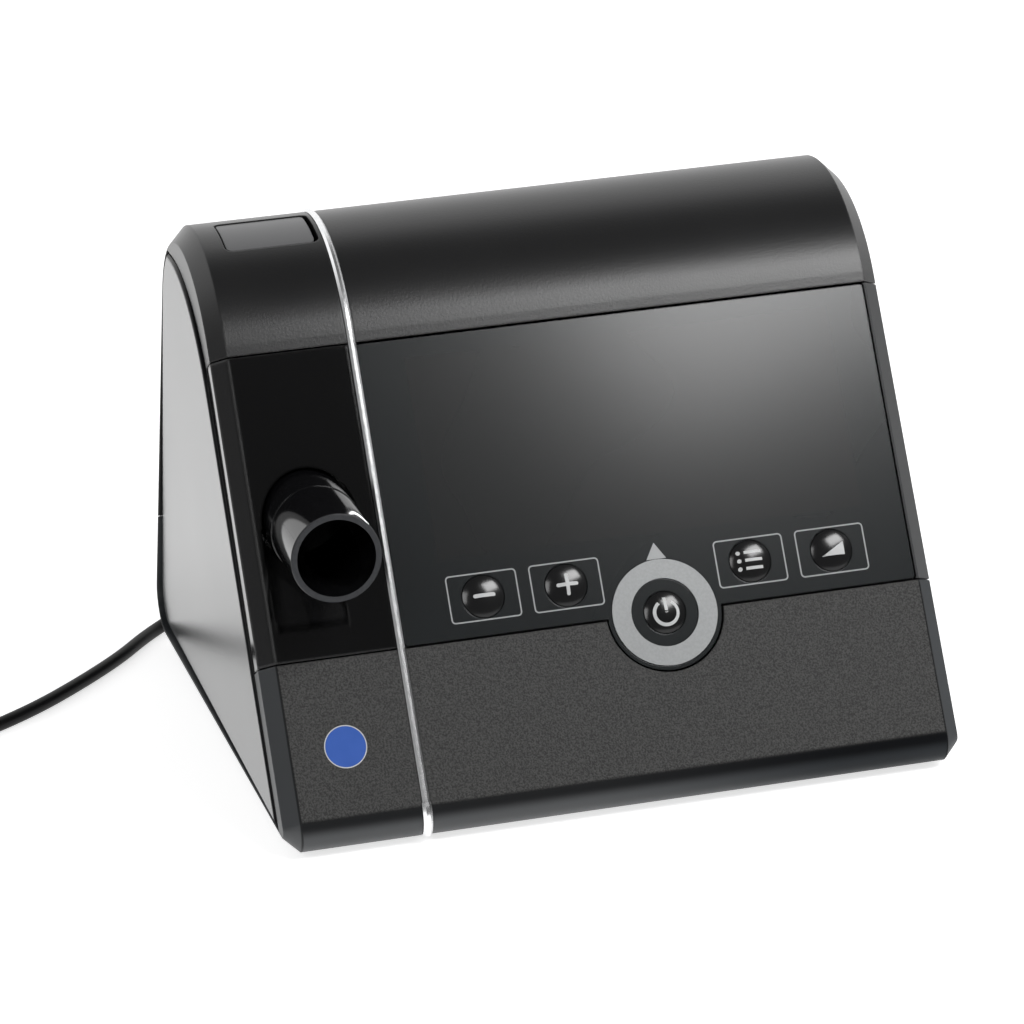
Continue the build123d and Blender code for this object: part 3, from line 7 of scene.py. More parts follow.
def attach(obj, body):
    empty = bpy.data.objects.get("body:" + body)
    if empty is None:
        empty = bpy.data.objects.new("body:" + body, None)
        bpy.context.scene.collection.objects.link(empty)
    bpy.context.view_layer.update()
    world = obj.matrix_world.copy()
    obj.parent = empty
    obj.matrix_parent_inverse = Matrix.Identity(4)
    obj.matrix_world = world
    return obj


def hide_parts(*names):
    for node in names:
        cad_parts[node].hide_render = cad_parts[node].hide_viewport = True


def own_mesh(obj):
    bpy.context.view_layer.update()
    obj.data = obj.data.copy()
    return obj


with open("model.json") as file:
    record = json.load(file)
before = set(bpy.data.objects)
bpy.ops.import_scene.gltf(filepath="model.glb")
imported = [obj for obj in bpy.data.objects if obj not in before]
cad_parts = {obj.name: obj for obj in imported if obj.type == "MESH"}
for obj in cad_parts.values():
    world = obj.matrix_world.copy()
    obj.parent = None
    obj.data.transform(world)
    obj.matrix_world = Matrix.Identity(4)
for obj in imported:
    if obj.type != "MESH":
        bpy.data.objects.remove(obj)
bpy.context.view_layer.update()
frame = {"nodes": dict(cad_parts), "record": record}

# The sloping front has its own measures: x across, s up the slope from its foot line, n outward.
MM = 0.001
SLOPE = radians(62.1)
FACE_FOOT = -0.0936  # the foot line's Y, in metres
UP = Vector((0, cos(SLOPE), sin(SLOPE)))
OUT = Vector((0, -sin(SLOPE), cos(SLOPE)))

# millimetres
FILM_TOP = -0.3
POWER = (15.9, 50.2)
KEYS = {"minus": -28.2, "plus": -7.4, "menu": 39.4, "ramp": 60.3}
KEY_S = 60.0
KEY_R = 5.15
KEY_DOME = 1.9

CORD_D = 0.0036


def placed(name, data):
    """A new object in the scene."""
    made = bpy.data.objects.new(name, data)
    bpy.context.scene.collection.objects.link(made)
    return made


# ---------------------------------------------------------------- camera and light
CAMERA_AT = (-0.26088, -1.08713, 0.41049)
CAMERA_AHEAD = (0.21855569, 0.92667325, -0.30579422)
CAMERA_UP = (0.125003, 0.28420155, 0.95058073)
LIT_MIDDLE = Vector((0, 0, 0.06))


def look(position, forward, up):
    """The matrix of a camera or a lamp that looks forward from a position."""
    forward = Vector(forward).normalized()
    right = forward.cross(Vector(up)).normalized()
    true_up = right.cross(forward)
    matrix = Matrix((right, true_up, -forward)).transposed().to_4x4()
    matrix.translation = Vector(position)
    return matrix


camera = bpy.data.cameras.new("camera")
camera.sensor_fit = "HORIZONTAL"
camera.sensor_width = 36.0
camera.lens = 160.67
camera.clip_start = 0.05
camera.clip_end = 50.0
camera_object = placed("camera", camera)
camera_object.matrix_world = look(CAMERA_AT, CAMERA_AHEAD, CAMERA_UP)
bpy.context.scene.camera = camera_object
bpy.context.scene.view_settings.view_transform = "Standard"


def area_light(name, azimuth, elevation, distance, size, power):
    """A rectangular lamp that faces the object; its azimuth runs from the back (+Y) to the right (+X)."""
    a = radians(azimuth)
    e = radians(elevation)
    direction = Vector((sin(a) * cos(e), cos(a) * cos(e), sin(e))).normalized()
    data = bpy.data.lights.new(name, "AREA")
    data.shape = "RECTANGLE"
    data.size, data.size_y = size
    data.energy = power
    placed(name, data).matrix_world = look(direction * distance + LIT_MIDDLE, -direction, (0, 0, 1))


area_light("key_softbox", 143.5, 46, distance=1.3, size=(0.66, 0.38), power=8.6)
area_light("side_softbox", 86, 26, distance=1.4, size=(0.8, 0.8), power=2.4)
area_light("edge_strip", -141, 32, distance=1.5, size=(0.45, 0.6), power=3.2)


# ---------------------------------------------------------------- node helpers
def node(tree, kind, **values):
    made = tree.nodes.new(kind)
    for key, value in values.items():
        setattr(made, key, value)
    return made


def feed(tree, value, socket):
    """Links another node's output to a socket, or sets a fixed value there."""
    if isinstance(value, bpy.types.NodeSocket):
        tree.links.new(value, socket)
    else:
        socket.default_value = value


def math_node(tree, operation, *values):
    made = node(tree, "ShaderNodeMath", operation=operation)
    for value, socket in zip(values, made.inputs):
        feed(tree, value, socket)
    return made.outputs[0]


def multiply(tree, a, b):
    return math_node(tree, "MULTIPLY", a, b)


def blend(tree, factor, a, b, kind="RGBA"):
    """From a, where the factor is 0, to b, where it is 1."""
    made = node(tree, "ShaderNodeMix", data_type=kind)
    for name, value in (("Factor", factor), ("A", a), ("B", b)):
        feed(tree, value, made.inputs[name])
    return made.outputs["Result"]


def split_xyz(tree, vector):
    made = node(tree, "ShaderNodeSeparateXYZ")
    tree.links.new(vector, made.inputs["Vector"])
    return made.outputs


def coordinates(tree):
    return node(tree, "ShaderNodeTexCoord").outputs["Object"]


def noise(tree, vector, scale, detail=2.0, roughness=0.5):
    made = node(tree, "ShaderNodeTexNoise")
    made.inputs["Scale"].default_value = scale
    made.inputs["Detail"].default_value = detail
    made.inputs["Roughness"].default_value = roughness
    tree.links.new(vector, made.inputs["Vector"])
    return made.outputs["Fac"]


def ramp(tree, factor, first, last, low=0.3, high=0.7):
    """The first colour up to the low factor, the last from the high one, and their mixtures between."""
    made = node(tree, "ShaderNodeValToRGB")
    for element, position, colour in zip(made.color_ramp.elements, (low, high), (first, last)):
        element.position = position
        element.color = (*colour, 1.0)
    tree.links.new(factor, made.inputs["Fac"])
    return made.outputs["Color"]


def remap(tree, factor, low, high):
    made = node(tree, "ShaderNodeMapRange")
    made.inputs["To Min"].default_value = low
    made.inputs["To Max"].default_value = high
    tree.links.new(factor, made.inputs["Value"])
    return made.outputs["Result"]


def step_mask(tree, value, start, end):
    """A smooth step, 0 at the start value and 1 at the end value."""
    made = node(tree, "ShaderNodeMapRange", interpolation_type="SMOOTHSTEP")
    made.inputs["From Min"].default_value = start
    made.inputs["From Max"].default_value = end
    tree.links.new(value, made.inputs["Value"])
    return made.outputs["Result"]


def between(tree, value, low, high, soft=0.0005):
    """1 between two values, with soft steps at both."""
    return multiply(tree, step_mask(tree, value, low - soft, low + soft),
                    step_mask(tree, value, high + soft, high - soft))


def from_foot(tree, place, direction):
    """The distance, in metres, from the front's foot line along a direction square to X."""
    along = multiply(tree, math_node(tree, "SUBTRACT", place["Y"], FACE_FOOT), direction.y)
    return math_node(tree, "ADD", along, multiply(tree, place["Z"], direction.z))


def rounded_edges(tree, radius):
    made = node(tree, "ShaderNodeBevel", samples=3)
    made.inputs["Radius"].default_value = radius
    return made.outputs["Normal"]


def bump(tree, height, strength, distance, normal=None):
    made = node(tree, "ShaderNodeBump")
    made.inputs["Strength"].default_value = strength
    made.inputs["Distance"].default_value = distance
    tree.links.new(height, made.inputs["Height"])
    if normal is not None:
        tree.links.new(normal, made.inputs["Normal"])
    return made.outputs["Normal"]


# ---------------------------------------------------------------- materials
# where looks change within a piece, in metres
SIDE_EDGE = 0.0811  # X of the line between the lower shell's textured field and its side chamfer
FIELD_FOOT = 0.0113  # how far up the slope the textured field starts
WINDOW_S = (0.070, 0.121)  # the display window, up the slope
WINDOW_X = (-0.038, 0.070)
MATT_END = (-0.08372, -0.08384)  # Y over which the tube's gloss turns into its matt end ring


def new_material(name):
    material = bpy.data.materials.new(name)
    material.use_nodes = True
    return material, material.node_tree


def shader_inputs(material):
    return material.node_tree.nodes["Principled BSDF"].inputs


def dress(material, colour, rough, normal=None, specular=0.5):
    """Feeds a material's colour, roughness, normal and specular level."""
    tree = material.node_tree
    inputs = shader_inputs(material)
    feed(tree, colour, inputs["Base Color"])
    feed(tree, rough, inputs["Roughness"])
    feed(tree, specular, inputs["Specular IOR Level"])
    if normal is not None:
        feed(tree, normal, inputs["Normal"])
    return material


def moulded(name, dark, light, rough, grain, strength, distance, edge=0.0, specular=0.5):
    """Moulded plastic: slow colour and gloss patches, a fine grain, softened edges."""
    material, tree = new_material(name)
    where = coordinates(tree)
    slow = noise(tree, where, 18.0, 3.0, 0.55)
    fine = noise(tree, where, grain, 3.0, 0.6)
    soft = rounded_edges(tree, edge) if edge else None
    return dress(material, ramp(tree, slow, dark, light), remap(tree, slow, *rough),
                 bump(tree, fine, strength, distance, soft), specular)


def metal(name, dark, light, rough, grain, strength):
    """Metal with a fine plated grain."""
    material, tree = new_material(name)
    fine = noise(tree, coordinates(tree), grain)
    shader_inputs(material)["Metallic"].default_value = 1.0
    return dress(material, ramp(tree, fine, dark, light, 0.35, 0.65), remap(tree, fine, *rough),
                 bump(tree, fine, strength, 0.00005))


def repaint(material, mask, colour):
    """Lays a plain colour over the material's own where the mask is 1."""
    tree = material.node_tree
    socket = shader_inputs(material)["Base Color"]
    tree.links.new(blend(tree, mask, socket.links[0].from_socket, (*colour, 1.0)), socket)


def painted_shade_rim(material):
    """A cover whose rounded rim, turned away from its flat, is painted black as shade, like the gap round
    it.
    """
    tree = material.node_tree
    normal = split_xyz(tree, node(tree, "ShaderNodeNewGeometry").outputs["Normal"])
    turned_shade = step_mask(tree, math_node(tree, "ABSOLUTE", normal["X"]), 0.96, 0.85)
    repaint(material, turned_shade, (0.005, 0.005, 0.006))
    specular = shader_inputs(material)["Specular IOR Level"]
    tree.links.new(remap(tree, turned_shade, specular.default_value, 0.12), specular)
    return material


def painted_light_recess(material):
    """Painted light: the pocket and the scoop, behind the sloping face, are painted a lighter grey than the
    mirror-black face of the same plastic.
    """
    tree = material.node_tree
    behind = from_foot(tree, split_xyz(tree, coordinates(tree)), -OUT)
    repaint(material, step_mask(tree, behind, 0.0003, 0.0009), (0.011, 0.011, 0.0115))
    return material


def lower_shell_material():
    """Spark-eroded texture on the front field, smoother round the nose and the side chamfers."""
    material, tree = new_material("lower_shell")
    where = coordinates(tree)
    place = split_xyz(tree, where)
    slope = from_foot(tree, place, UP)
    sideways = math_node(tree, "ABSOLUTE", place["X"])
    side = step_mask(tree, sideways, SIDE_EDGE + 0.0003, SIDE_EDGE - 0.0003)
    field = multiply(tree, step_mask(tree, slope, FIELD_FOOT - 0.0005, FIELD_FOOT + 0.0005), side)
    fine = noise(tree, where, 2200.0, 2.5, 0.6)
    coarse = noise(tree, where, 700.0)
    slow = noise(tree, where, 14.0, 3.0)
    textured = ramp(tree, fine, (0.0085, 0.0084, 0.0083), (0.0505, 0.050, 0.0485), 0.39, 0.61)
    smooth = ramp(tree, slow, (0.016, 0.019, 0.022), (0.022, 0.026, 0.030))

    # painted shade: the bend above the nose and the line along each side chamfer are painted black
    off_line = math_node(tree, "ABSOLUTE", math_node(tree, "SUBTRACT", sideways, SIDE_EDGE))
    side_line_shade = step_mask(tree, off_line, 0.0004, 0.0001)
    bend_shade = multiply(tree, step_mask(tree, slope, 0.0072, 0.0098), step_mask(tree, slope, 0.0122, 0.0112))
    black = multiply(tree, math_node(tree, "MAXIMUM", side_line_shade, multiply(tree, bend_shade, side)), 0.8)
    colour = blend(tree, black, blend(tree, field, smooth, textured), (0.003, 0.003, 0.0035, 1.0))

    # the smooth areas shine more at the left than at the right, the painted-shade ones hardly at all
    level = remap(tree, step_mask(tree, place["X"], -0.02, 0.06), 1.6, 0.32)
    level = math_node(tree, "ADD", field, multiply(tree, remap(tree, field, 1.0, 0.0), level))
    level = multiply(tree, level, remap(tree, black, 0.5, 0.1))

    grain = math_node(tree, "ADD", multiply(tree, fine, 0.7), multiply(tree, coarse, 0.5))
    height = multiply(tree, grain, remap(tree, field, 0.12, 1.0))
    return dress(material, colour, remap(tree, field, 0.42, 0.56),
                 bump(tree, height, 0.85, 0.00012, rounded_edges(tree, 0.0006)), level)


def key_material():
    """Gloss domes, shaded a little flatter than their caps, so that each holds one broad soft light."""
    material, tree = new_material("key_gloss")
    where = coordinates(tree)
    place = split_xyz(tree, where)
    slope = from_foot(tree, place, UP)
    nearest = None
    for x, s in [(x, KEY_S) for x in KEYS.values()] + [POWER]:
        across = math_node(tree, "SUBTRACT", place["X"], x * MM)
        along = math_node(tree, "SUBTRACT", slope, s * MM)
        square = math_node(tree, "ADD", multiply(tree, across, across), multiply(tree, along, along))
        nearest = square if nearest is None else math_node(tree, "MINIMUM", nearest, square)
    flatter = multiply(tree, nearest, MM ** -2)
    slow = noise(tree, where, 60.0)
    return dress(material, ramp(tree, slow, (0.0065, 0.0065, 0.007), (0.009, 0.009, 0.0095)),
                 remap(tree, slow, 0.15, 0.19), bump(tree, flatter, 1.0, 0.000036), 0.6)


def film_material():
    """Dark printed film: a slightly bluer printed border round a neutral display field."""
    material, tree = new_material("display_film")
    where = coordinates(tree)
    place = split_xyz(tree, where)
    window = multiply(tree, between(tree, from_foot(tree, place, UP), *WINDOW_S),
                      between(tree, place["X"], *WINDOW_X))
    fine = noise(tree, where, 2600.0, 1.5)
    slow = noise(tree, where, 9.0)
    border = ramp(tree, slow, (0.0105, 0.0125, 0.0135), (0.013, 0.0155, 0.0165))
    field = ramp(tree, slow, (0.0125, 0.0135, 0.014), (0.015, 0.016, 0.0165))
    return dress(material, blend(tree, window, border, field), remap(tree, fine, 0.14, 0.18),
                 bump(tree, fine, 0.1, 0.00002, rounded_edges(tree, 0.0004)))


def tube_material():
    """Glossy black tube with a matt grey end ring."""
    material, tree = new_material("outlet_tube")
    where = coordinates(tree)
    ring = step_mask(tree, split_xyz(tree, where)["Y"], *MATT_END)
    fine = noise(tree, where, 1200.0)
    black = ramp(tree, fine, (0.0035, 0.0035, 0.004), (0.006, 0.006, 0.007))
    grey = ramp(tree, fine, (0.017, 0.018, 0.021), (0.027, 0.029, 0.033))
    return dress(material, blend(tree, ring, black, grey), remap(tree, ring, 0.07, 0.5),
                 bump(tree, fine, 0.03, 0.00002, rounded_edges(tree, 0.0003)))


def filter_material():
    """Pressed fleece of the filter pad."""
    material, tree = new_material("filter_fleece")
    where = coordinates(tree)
    fibre = noise(tree, where, 1800.0, 5.0, 0.75)
    clumps = noise(tree, where, 160.0, 3.0, 0.6)
    shader_inputs(material)["Sheen Weight"].default_value = 0.3
    return dress(material, ramp(tree, clumps, (0.62, 0.64, 0.67), (0.82, 0.83, 0.85), 0.25, 0.75),
                 remap(tree, fibre, 0.8, 1.0), bump(tree, fibre, 0.8, 0.0003))


def board_material():
    """Solder-masked board with faint traces."""
    material, tree = new_material("board")
    where = coordinates(tree)
    cells = node(tree, "ShaderNodeTexVoronoi", distance="MANHATTAN", feature="DISTANCE_TO_EDGE")
    cells.inputs["Scale"].default_value = 260.0
    tree.links.new(where, cells.inputs["Vector"])
    traces = ramp(tree, cells.outputs["Distance"], (0.03, 0.15, 0.07), (0.012, 0.075, 0.038), 0.02, 0.08)
    return dress(material, traces, remap(tree, noise(tree, where, 900.0), 0.25, 0.4))


def label_material():
    """Blue printed sticker."""
    material, tree = new_material("round_label")
    slow = noise(tree, coordinates(tree), 220.0)
    return dress(material, ramp(tree, slow, (0.022, 0.105, 0.47), (0.028, 0.115, 0.51)),
                 remap(tree, slow, 0.3, 0.42))


def ink(name, dark, light):
    return moulded(name, dark, light, (0.35, 0.5), grain=2500.0, strength=0.1, distance=0.00001)


MATERIALS = {
    "lower_shell": lower_shell_material(),
    "upper_shell": moulded(
        "upper_shell", (0.0085, 0.0085, 0.009), (0.0115, 0.0115, 0.012), (0.27, 0.32),
        grain=1700.0, strength=0.65, distance=0.00004, edge=0.0006),
    "frame": moulded(
        "front_frame", (0.010, 0.0105, 0.012), (0.014, 0.015, 0.017), (0.4, 0.46),
        grain=2000.0, strength=0.2, distance=0.00004, edge=0.0005),
    # the port panel's pocket and scoop are painted lighter than its face, as painted light
    "panel": painted_light_recess(moulded(
        "port_panel", (0.0018, 0.0018, 0.002), (0.003, 0.003, 0.0033), (0.07, 0.09),
        grain=500.0, strength=0.015, distance=0.00002, edge=0.001)),
    "tube": tube_material(),
    "film": film_material(),
    "ring": metal(
        "power_ring", (0.268, 0.274, 0.276), (0.296, 0.303, 0.305), (0.44, 0.5),
        grain=1500.0, strength=0.05),
    "key": key_material(),
    "chrome": metal(
        "chrome_trim", (0.86, 0.87, 0.88), (0.93, 0.93, 0.94), (0.2, 0.28),
        grain=700.0, strength=0.03),
    # the side cover's turned rim is painted black as shade
    "cover": painted_shade_rim(moulded(
        "side_cover", (0.06, 0.062, 0.064), (0.075, 0.077, 0.079), (0.2, 0.24),
        grain=1600.0, strength=0.06, distance=0.00002, edge=0.0006, specular=0.74)),
    "button": moulded(
        "release_button", (0.094, 0.095, 0.098), (0.108, 0.109, 0.112), (0.3, 0.36),
        grain=2200.0, strength=0.18, distance=0.00004, edge=0.0005),
    "inner_plastic": moulded(
        "inner_plastic", (0.05, 0.05, 0.053), (0.075, 0.075, 0.08), (0.42, 0.52),
        grain=900.0, strength=0.12, distance=0.00006),
    "white_plastic": moulded(
        "impeller_plastic", (0.62, 0.61, 0.58), (0.72, 0.71, 0.68), (0.38, 0.5),
        grain=900.0, strength=0.08, distance=0.00004),
    "board": board_material(),
    "lcd": moulded(
        "lcd_glass", (0.008, 0.009, 0.011), (0.011, 0.012, 0.014), (0.08, 0.12),
        grain=600.0, strength=0.01, distance=0.00002),
    "steel": metal(
        "zinc_steel", (0.5, 0.5, 0.52), (0.62, 0.62, 0.63), (0.3, 0.42),
        grain=1500.0, strength=0.15),
    "rubber": moulded(
        "soft_rubber", (0.014, 0.014, 0.014), (0.022, 0.022, 0.022), (0.75, 0.88),
        grain=1300.0, strength=0.3, distance=0.00008),
    "foam": filter_material(),
    "cord": moulded(
        "cord_jacket", (0.0035, 0.0035, 0.004), (0.0055, 0.0055, 0.006), (0.42, 0.5),
        grain=1100.0, strength=0.1, distance=0.00004, specular=0.2),
    "supply": moulded(
        "supply_case", (0.014, 0.014, 0.015), (0.02, 0.02, 0.021), (0.5, 0.6),
        grain=1300.0, strength=0.45, distance=0.00009, edge=0.0006),
}

for entry in frame["record"]["subparts"]:
    item = frame["nodes"][entry["node"]]
    item.data.materials.clear()
    item.data.materials.append(MATERIALS[entry["material_slot"]])


# ---------------------------------------------------------------- printed marks
INK_LIFT = 0.03
INK_THICK = 0.02
LEAST_COSINE = 0.5  # keeps a stroke's sharp joints from growing long
OFF_CENTRE = 0.1  # key frames and pointer stand this far right of their keys
KEY_FRAME = {"width": 17.35, "height": 11.55, "corner": 0.9}
REACH = 2.3  # from the middle of the minus and the plus to the ends of their bars
MINUS_WIDTH = 0.95
PLUS_WIDTH = 0.9
LABEL = (-67.5, 28.3)
LABEL_R = 5.0
LABEL_STEPS = 64


def face_point(x, s, n):
    foot = Vector((x * MM, FACE_FOOT, 0))
    return foot + UP * (s * MM) + OUT * (n * MM)


def dome_height(x, s, centre):
    """The surface of a key's dome, a part of a ball, as n."""
    ball = (KEY_R ** 2 + KEY_DOME ** 2) / (2 * KEY_DOME)
    away = (x - centre[0]) ** 2 + (s - centre[1]) ** 2
    return FILM_TOP + KEY_DOME - ball + sqrt(max(ball ** 2 - away, 0.0))


class Marks:
    """Thin printed marks, gathered as strips and fans and laid level or over the dome round a centre."""

    def __init__(self, name, centre=None, level=FILM_TOP + INK_LIFT):
        self.name = name
        self.centre = centre
        self.level = level
        self.points = []
        self.faces = []

    def add(self, x, s):
        n = dome_height(x, s, self.centre) + INK_LIFT if self.centre else self.level
        self.points.append(face_point(x, s, n))
        return len(self.points) - 1

    def stroke(self, path, width, closed=False):
        """A line of constant width along points, with joints halved between neighbours."""
        count = len(path)
        rows = []
        for i, (x, s) in enumerate(path):
            before = path[i - 1] if (i or closed) else path[i]
            after = path[(i + 1) % count] if (i < count - 1 or closed) else path[i]
            tangents = []
            for a, b in ((before, (x, s)), ((x, s), after)):
                run = Vector((b[0] - a[0], b[1] - a[1]))
                if run.length > 1e-9:
                    tangents.append(run.normalized())
            tangent = sum(tangents, Vector((0, 0))).normalized()
            side = Vector((-tangent.y, tangent.x))
            half = width / 2 * (1.0 / max(tangent.dot(tangents[0]), LEAST_COSINE))
            rows.append((self.add(x + side.x * half, s + side.y * half),
                         self.add(x - side.x * half, s - side.y * half)))
        if closed:
            rows.append(rows[0])
        for (a, b), (c, d) in zip(rows, rows[1:]):
            self.faces.append((a, b, d, c))

    def disc(self, x, s, r, steps=20):
        middle = self.add(x, s)
        rim = [self.add(x + r * cos(tau * k / steps), s + r * sin(tau * k / steps)) for k in range(steps)]
        for k in range(steps):
            self.faces.append((middle, rim[k], rim[(k + 1) % steps]))

    def wedge(self, s, height, left, right, tip, cells=8):
        """A filled triangle on a level foot, in cells, so that it can follow a dome."""
        rows = []
        for k in range(cells + 1):
            x0 = left + (tip - left) * k / cells
            x1 = right + (tip - right) * k / cells
            level = s + height * k / cells
            rows.append([self.add(x0 + (x1 - x0) * j / cells, level) for j in range(cells + 1)])
        for low, high in zip(rows, rows[1:]):
            for j in range(cells):
                self.faces.append((low[j], low[j + 1], high[j + 1], high[j]))

    def build(self, material, body):
        mesh = bpy.data.meshes.new(self.name)
        mesh.from_pydata([tuple(p) for p in self.points], [], self.faces)
        mesh.update()
        mesh.materials.append(material)
        piece = placed(self.name, mesh)
        normal = sum((p.normal for p in mesh.polygons), Vector((0, 0, 0)))
        if normal.dot(OUT) < 0:
            mesh.flip_normals()
        thick = piece.modifiers.new("ink", "SOLIDIFY")
        thick.thickness = INK_THICK * MM
        thick.offset = -1.0
        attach(piece, body)


def rounded_frame(x, s, width, height, corner, steps=5):
    across = width / 2
    up = height / 2
    path = []
    for cx, cs, start in (
        (x + across - corner, s + up - corner, 0.0),
        (x - across + corner, s + up - corner, 0.25),
        (x - across + corner, s - up + corner, 0.5),
        (x + across - corner, s - up + corner, 0.75),
    ):
        for k in range(steps + 1):
            angle = tau * (start + 0.25 * k / steps)
            path.append((cx + corner * cos(angle), cs + corner * sin(angle)))
    return path


def line(x0, s0, x1, s1, steps=8):
    return [(x0 + (x1 - x0) * k / steps, s0 + (s1 - s0) * k / steps) for k in range(steps + 1)]


def arc(x, s, r, start, end, steps=36):
    angles = [radians(start + (end - start) * k / steps) for k in range(steps + 1)]
    return [(x + r * cos(angle), s + r * sin(angle)) for angle in angles]


white_ink = ink("white_ink", (0.56, 0.57, 0.57), (0.68, 0.69, 0.69))
silver_ink = ink("silver_ink", (0.36, 0.37, 0.375), (0.44, 0.45, 0.455))
frame_ink = ink("frame_ink", (0.34, 0.35, 0.355), (0.42, 0.43, 0.435))

frames = Marks("key_frames")
for x in KEYS.values():
    frames.stroke(rounded_frame(x + OFF_CENTRE, KEY_S, **KEY_FRAME), width=0.34, closed=True)
frames.build(frame_ink, "casing")

pointer = Marks("pointer")
tip = POWER[0] + OFF_CENTRE
pointer.wedge(s=63.5, height=4.1, left=tip - 2.5, right=tip + 2.5, tip=tip)
pointer.build(silver_ink, "casing")

x = KEYS["minus"]
mark = Marks("minus_mark", (x, KEY_S))
mark.stroke(line(x - REACH, KEY_S, x + REACH, KEY_S), MINUS_WIDTH)
for end in (-REACH, REACH):
    mark.disc(x + end, KEY_S, MINUS_WIDTH / 2)
mark.build(white_ink, "minus_key")

x = KEYS["plus"]
mark = Marks("plus_mark", (x, KEY_S))
mark.stroke(line(x - REACH, KEY_S, x + REACH, KEY_S), PLUS_WIDTH)
for end in (-REACH, REACH):
    mark.disc(x + end, KEY_S, PLUS_WIDTH / 2)
    mark.disc(x, KEY_S + end, PLUS_WIDTH / 2)
for way in (1, -1):
    mark.stroke(line(x, KEY_S + way * PLUS_WIDTH / 2, x, KEY_S + way * REACH, steps=4), PLUS_WIDTH)
mark.build(white_ink, "plus_key")

x = KEYS["menu"]
mark = Marks("menu_mark", (x, KEY_S))
for row in (-2.0, 0.0, 2.0):
    mark.disc(x - 3.1, KEY_S + row, r=0.52)
    mark.stroke(line(x - 1.7, KEY_S + row, x + 2.7, KEY_S + row), width=0.75)
mark.build(white_ink, "menu_key")

x = KEYS["ramp"]
mark = Marks("ramp_mark", (x, KEY_S))
mark.wedge(s=KEY_S - 1.6, height=3.3, left=x - 3.0, right=x + 2.9, tip=x + 2.9)
mark.build(white_ink, "ramp_key")

x, s = POWER
mark = Marks("power_mark", POWER)
mark.stroke(arc(x, s - 0.3, r=2.95, start=90 + 32, end=450 - 32), width=0.8)
mark.stroke(line(x, s + 0.2, x, s + 3.5, steps=6), width=0.8)
mark.build(white_ink, "power_key")

# the plain round sticker lies on the lower shell, whose surface is at n = 0
label = Marks("round_label", level=INK_LIFT)
label.disc(*LABEL, LABEL_R, LABEL_STEPS)
label.build(label_material(), "casing")
edge = Marks("round_label_edge", level=INK_LIFT + 0.005)
rim = arc(*LABEL, LABEL_R + 0.1, start=0, end=360 - 360 / LABEL_STEPS, steps=LABEL_STEPS - 1)
edge.stroke(rim, width=0.25, closed=True)
edge.build(white_ink, "casing")


# ---------------------------------------------------------------- lead
# millimetres, and the coil's start in degrees
CORD_ROUTE = [
    (-38.0, 92.5, 25.0),
    (-49.0, 92.5, 25.0),
    (-59.0, 93.8, 19.2),
    (-68.0, 95.2, 10.6),
    (-76.2, 94.9, 4.0),
    (-84.4, 90.4, 1.9),
    (-90.6, 82.4, 1.9),
    (-98.6, 70.2, 1.9),
    (-111.2, 55.0, 1.9),
    (-125.8, 39.6, 1.9),
    (-141.6, 27.2, 1.9),
]
TAIL_ROUTE = [
    (-194.45, 41.5, 12.0),
    (-194.45, 53.5, 8.6),
    (-202.15, 64.1, 4.6),
    (-214.55, 68.1, 2.2),
    (-226.95, 64.1, 2.6),
    (-234.6, 53.5, 7.0),
    (-234.6, 40.5, 12.3),
    (-234.6, 27.5, 14.5),
    (-234.6, 15.5, 14.5),
]
COIL = (-169.85, 40.4)
COIL_START = -62.6
COIL_OUTER = 24.66
COIL_LAYERS = 4
LAYER_TURNS = 2.5625
POINTS_PER_TURN = 16
PITCH = 3.6  # the lead's thickness, from turn to turn and from layer to layer
LOWEST = 1.9  # the lowest layer's middle
CLIMB_TURNS = 0.22  # the part of a turn in which the lead climbs to the next layer


def coil_points():
    """Turns of the wound lead: layers that run inward and outward in turn, each on the last."""
    cut = cos(pi / POINTS_PER_TURN)
    made = []
    for k in range(int(COIL_LAYERS * LAYER_TURNS * POINTS_PER_TURN) + 1):
        turns = k / POINTS_PER_TURN
        layer = min(int(turns / LAYER_TURNS), COIL_LAYERS - 1)
        shift = (turns - layer * LAYER_TURNS) * PITCH
        r = COIL_OUTER - shift if layer % 2 == 0 else COIL_OUTER - LAYER_TURNS * PITCH + shift
        to_next = (layer + 1) * LAYER_TURNS - turns
        climb = max(0.0, 1.0 - to_next / CLIMB_TURNS) if layer < COIL_LAYERS - 1 else 0.0
        angle = radians(COIL_START) - tau * turns
        made.append((COIL[0] + r / cut * cos(angle), COIL[1] + r / cut * sin(angle),
                     LOWEST + PITCH * (layer + climb)))
    return made


def spline_mesh(name, points, bevel):
    """The mesh of a spline through millimetre points: a round tube, or with no bevel its bare line."""
    data = bpy.data.curves.new(name, "CURVE")
    data.dimensions = "3D"
    spline = data.splines.new("NURBS")
    spline.points.add(len(points) - 1)
    for target, point in zip(spline.points, points):
        target.co = (*[v * MM for v in point], 1.0)
    spline.order_u = 3
    spline.use_endpoint_u = True
    spline.resolution_u = 6
    data.bevel_depth = bevel
    data.bevel_resolution = 5
    data.use_fill_caps = bevel > 0
    curve = placed(name, data)
    bpy.context.view_layer.update()
    mesh = bpy.data.meshes.new_from_object(curve.evaluated_get(bpy.context.evaluated_depsgraph_get()))
    bpy.data.objects.remove(curve)
    return mesh


LEAD = CORD_ROUTE + coil_points() + TAIL_ROUTE
bare_line = spline_mesh("lead_line", LEAD, 0.0)
bpy.data.meshes.remove(bare_line)

jacket = spline_mesh("power_lead_spline", LEAD, CORD_D / 2)
jacket.name = "power_lead"
jacket.polygons.foreach_set("use_smooth", [True] * len(jacket.polygons))
jacket.materials.clear()
jacket.materials.append(MATERIALS["cord"])
cord = placed("power_lead", jacket)
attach(cord, "casing")
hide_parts("power_cord", "cord_coil", "power_cord_tail")


# ---------------------------------------------------------------- floor and surroundings
FLOOR_REACH = 4.0
WHITE = 1.05
DIM = 0.12
ASIDE = 0.17


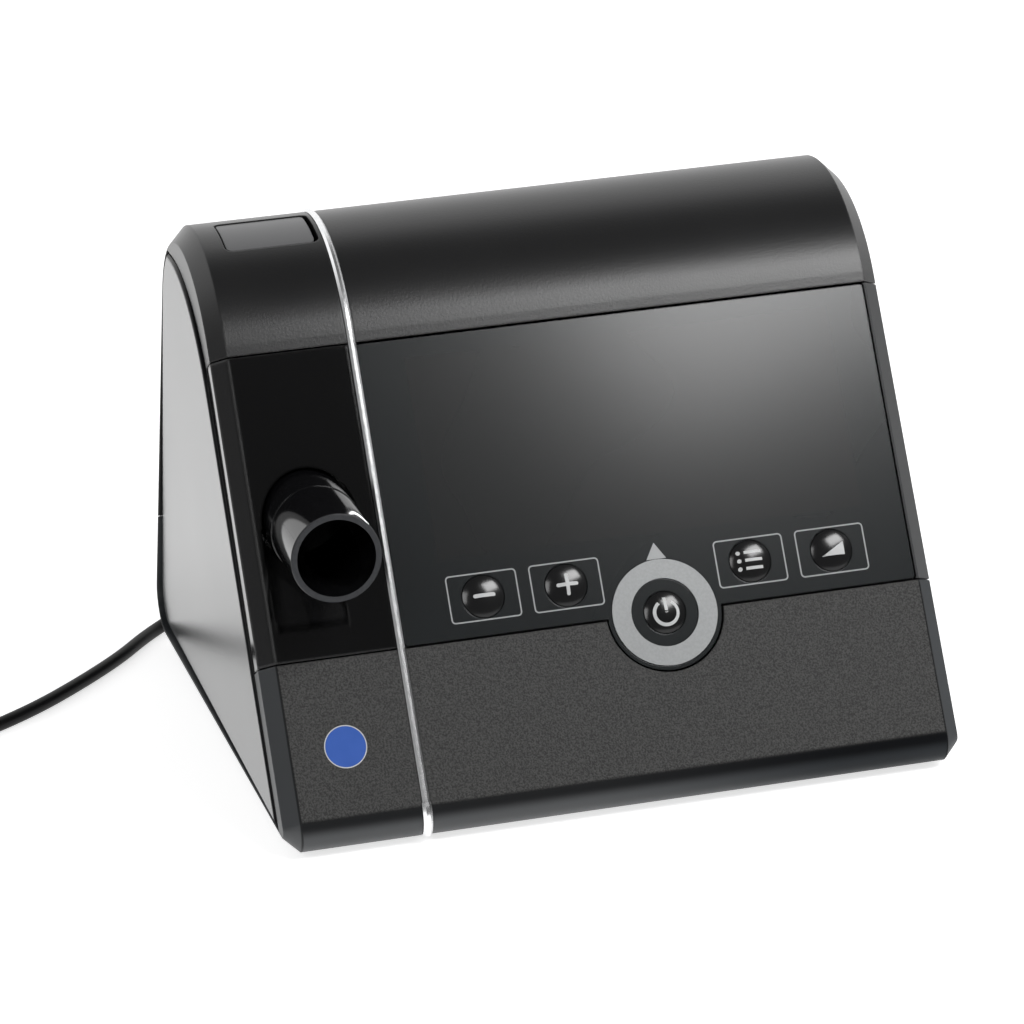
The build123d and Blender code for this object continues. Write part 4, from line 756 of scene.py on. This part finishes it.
def floor_material():
    """Pale floor that shows as white to the camera, through glass and in reflections of its back part."""
    material, tree = new_material("floor")
    where = coordinates(tree)
    soft = noise(tree, where, 6.0, 3.0)
    dress(material, ramp(tree, soft, (0.86, 0.86, 0.86), (0.88, 0.88, 0.88)), 0.9, specular=0.1)
    surface = tree.nodes["Material Output"].inputs["Surface"]
    plain = surface.links[0].from_socket
    glow = node(tree, "ShaderNodeEmission")
    glow.inputs["Strength"].default_value = 0.7
    lit = node(tree, "ShaderNodeAddShader")
    tree.links.new(plain, lit.inputs[0])
    tree.links.new(glow.outputs[0], lit.inputs[1])
    ray = node(tree, "ShaderNodeLightPath").outputs
    back_part = step_mask(tree, split_xyz(tree, where)["Y"], -0.3, -0.12)
    seen = math_node(tree, "MAXIMUM", ray["Is Camera Ray"], multiply(tree, ray["Is Glossy Ray"], back_part))
    seen = math_node(tree, "MAXIMUM", seen, ray["Is Transmission Ray"])
    mix = node(tree, "ShaderNodeMixShader")
    for socket, value in zip(mix.inputs, (seen, plain, lit.outputs[0])):
        tree.links.new(value, socket)
    tree.links.new(mix.outputs[0], surface)
    return material


def floor():
    mesh = bpy.data.meshes.new("floor")
    corners = [(x * FLOOR_REACH, y * FLOOR_REACH, 0) for x, y in ((-1, -1), (1, -1), (1, 1), (-1, 1))]
    mesh.from_pydata(corners, [], [(0, 1, 2, 3)])
    mesh.materials.append(floor_material())
    placed("floor", mesh)


def surroundings():
    """White round the horizon behind the object, dim overhead and in front, with a little light from
    the left; plain white where the camera sees it."""
    world = bpy.data.worlds.new("surroundings")
    world.use_nodes = True
    bpy.context.scene.world = world
    tree = world.node_tree
    way = split_xyz(tree, node(tree, "ShaderNodeTexCoord").outputs["Generated"])
    overhead = step_mask(tree, way["Z"], 0.74, 0.96)
    ahead = step_mask(tree, way["Y"], 0.45, 0.08)
    aside = step_mask(tree, way["X"], -0.5, -0.95)
    back = blend(tree, overhead, WHITE, DIM, "FLOAT")
    level = blend(tree, ahead, back, DIM, "FLOAT")
    level = math_node(tree, "ADD", level, multiply(tree, aside, ASIDE))
    camera_ray = node(tree, "ShaderNodeLightPath").outputs["Is Camera Ray"]
    background = tree.nodes["Background"].inputs
    tree.links.new(blend(tree, camera_ray, level, 1.0, "FLOAT"), background["Strength"])
    background["Color"].default_value = (1.0, 1.0, 1.0, 1.0)


floor()
surroundings()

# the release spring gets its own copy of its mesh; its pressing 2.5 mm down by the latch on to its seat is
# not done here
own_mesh(bpy.data.objects["release_spring"])

bpy.context.view_layer.update()
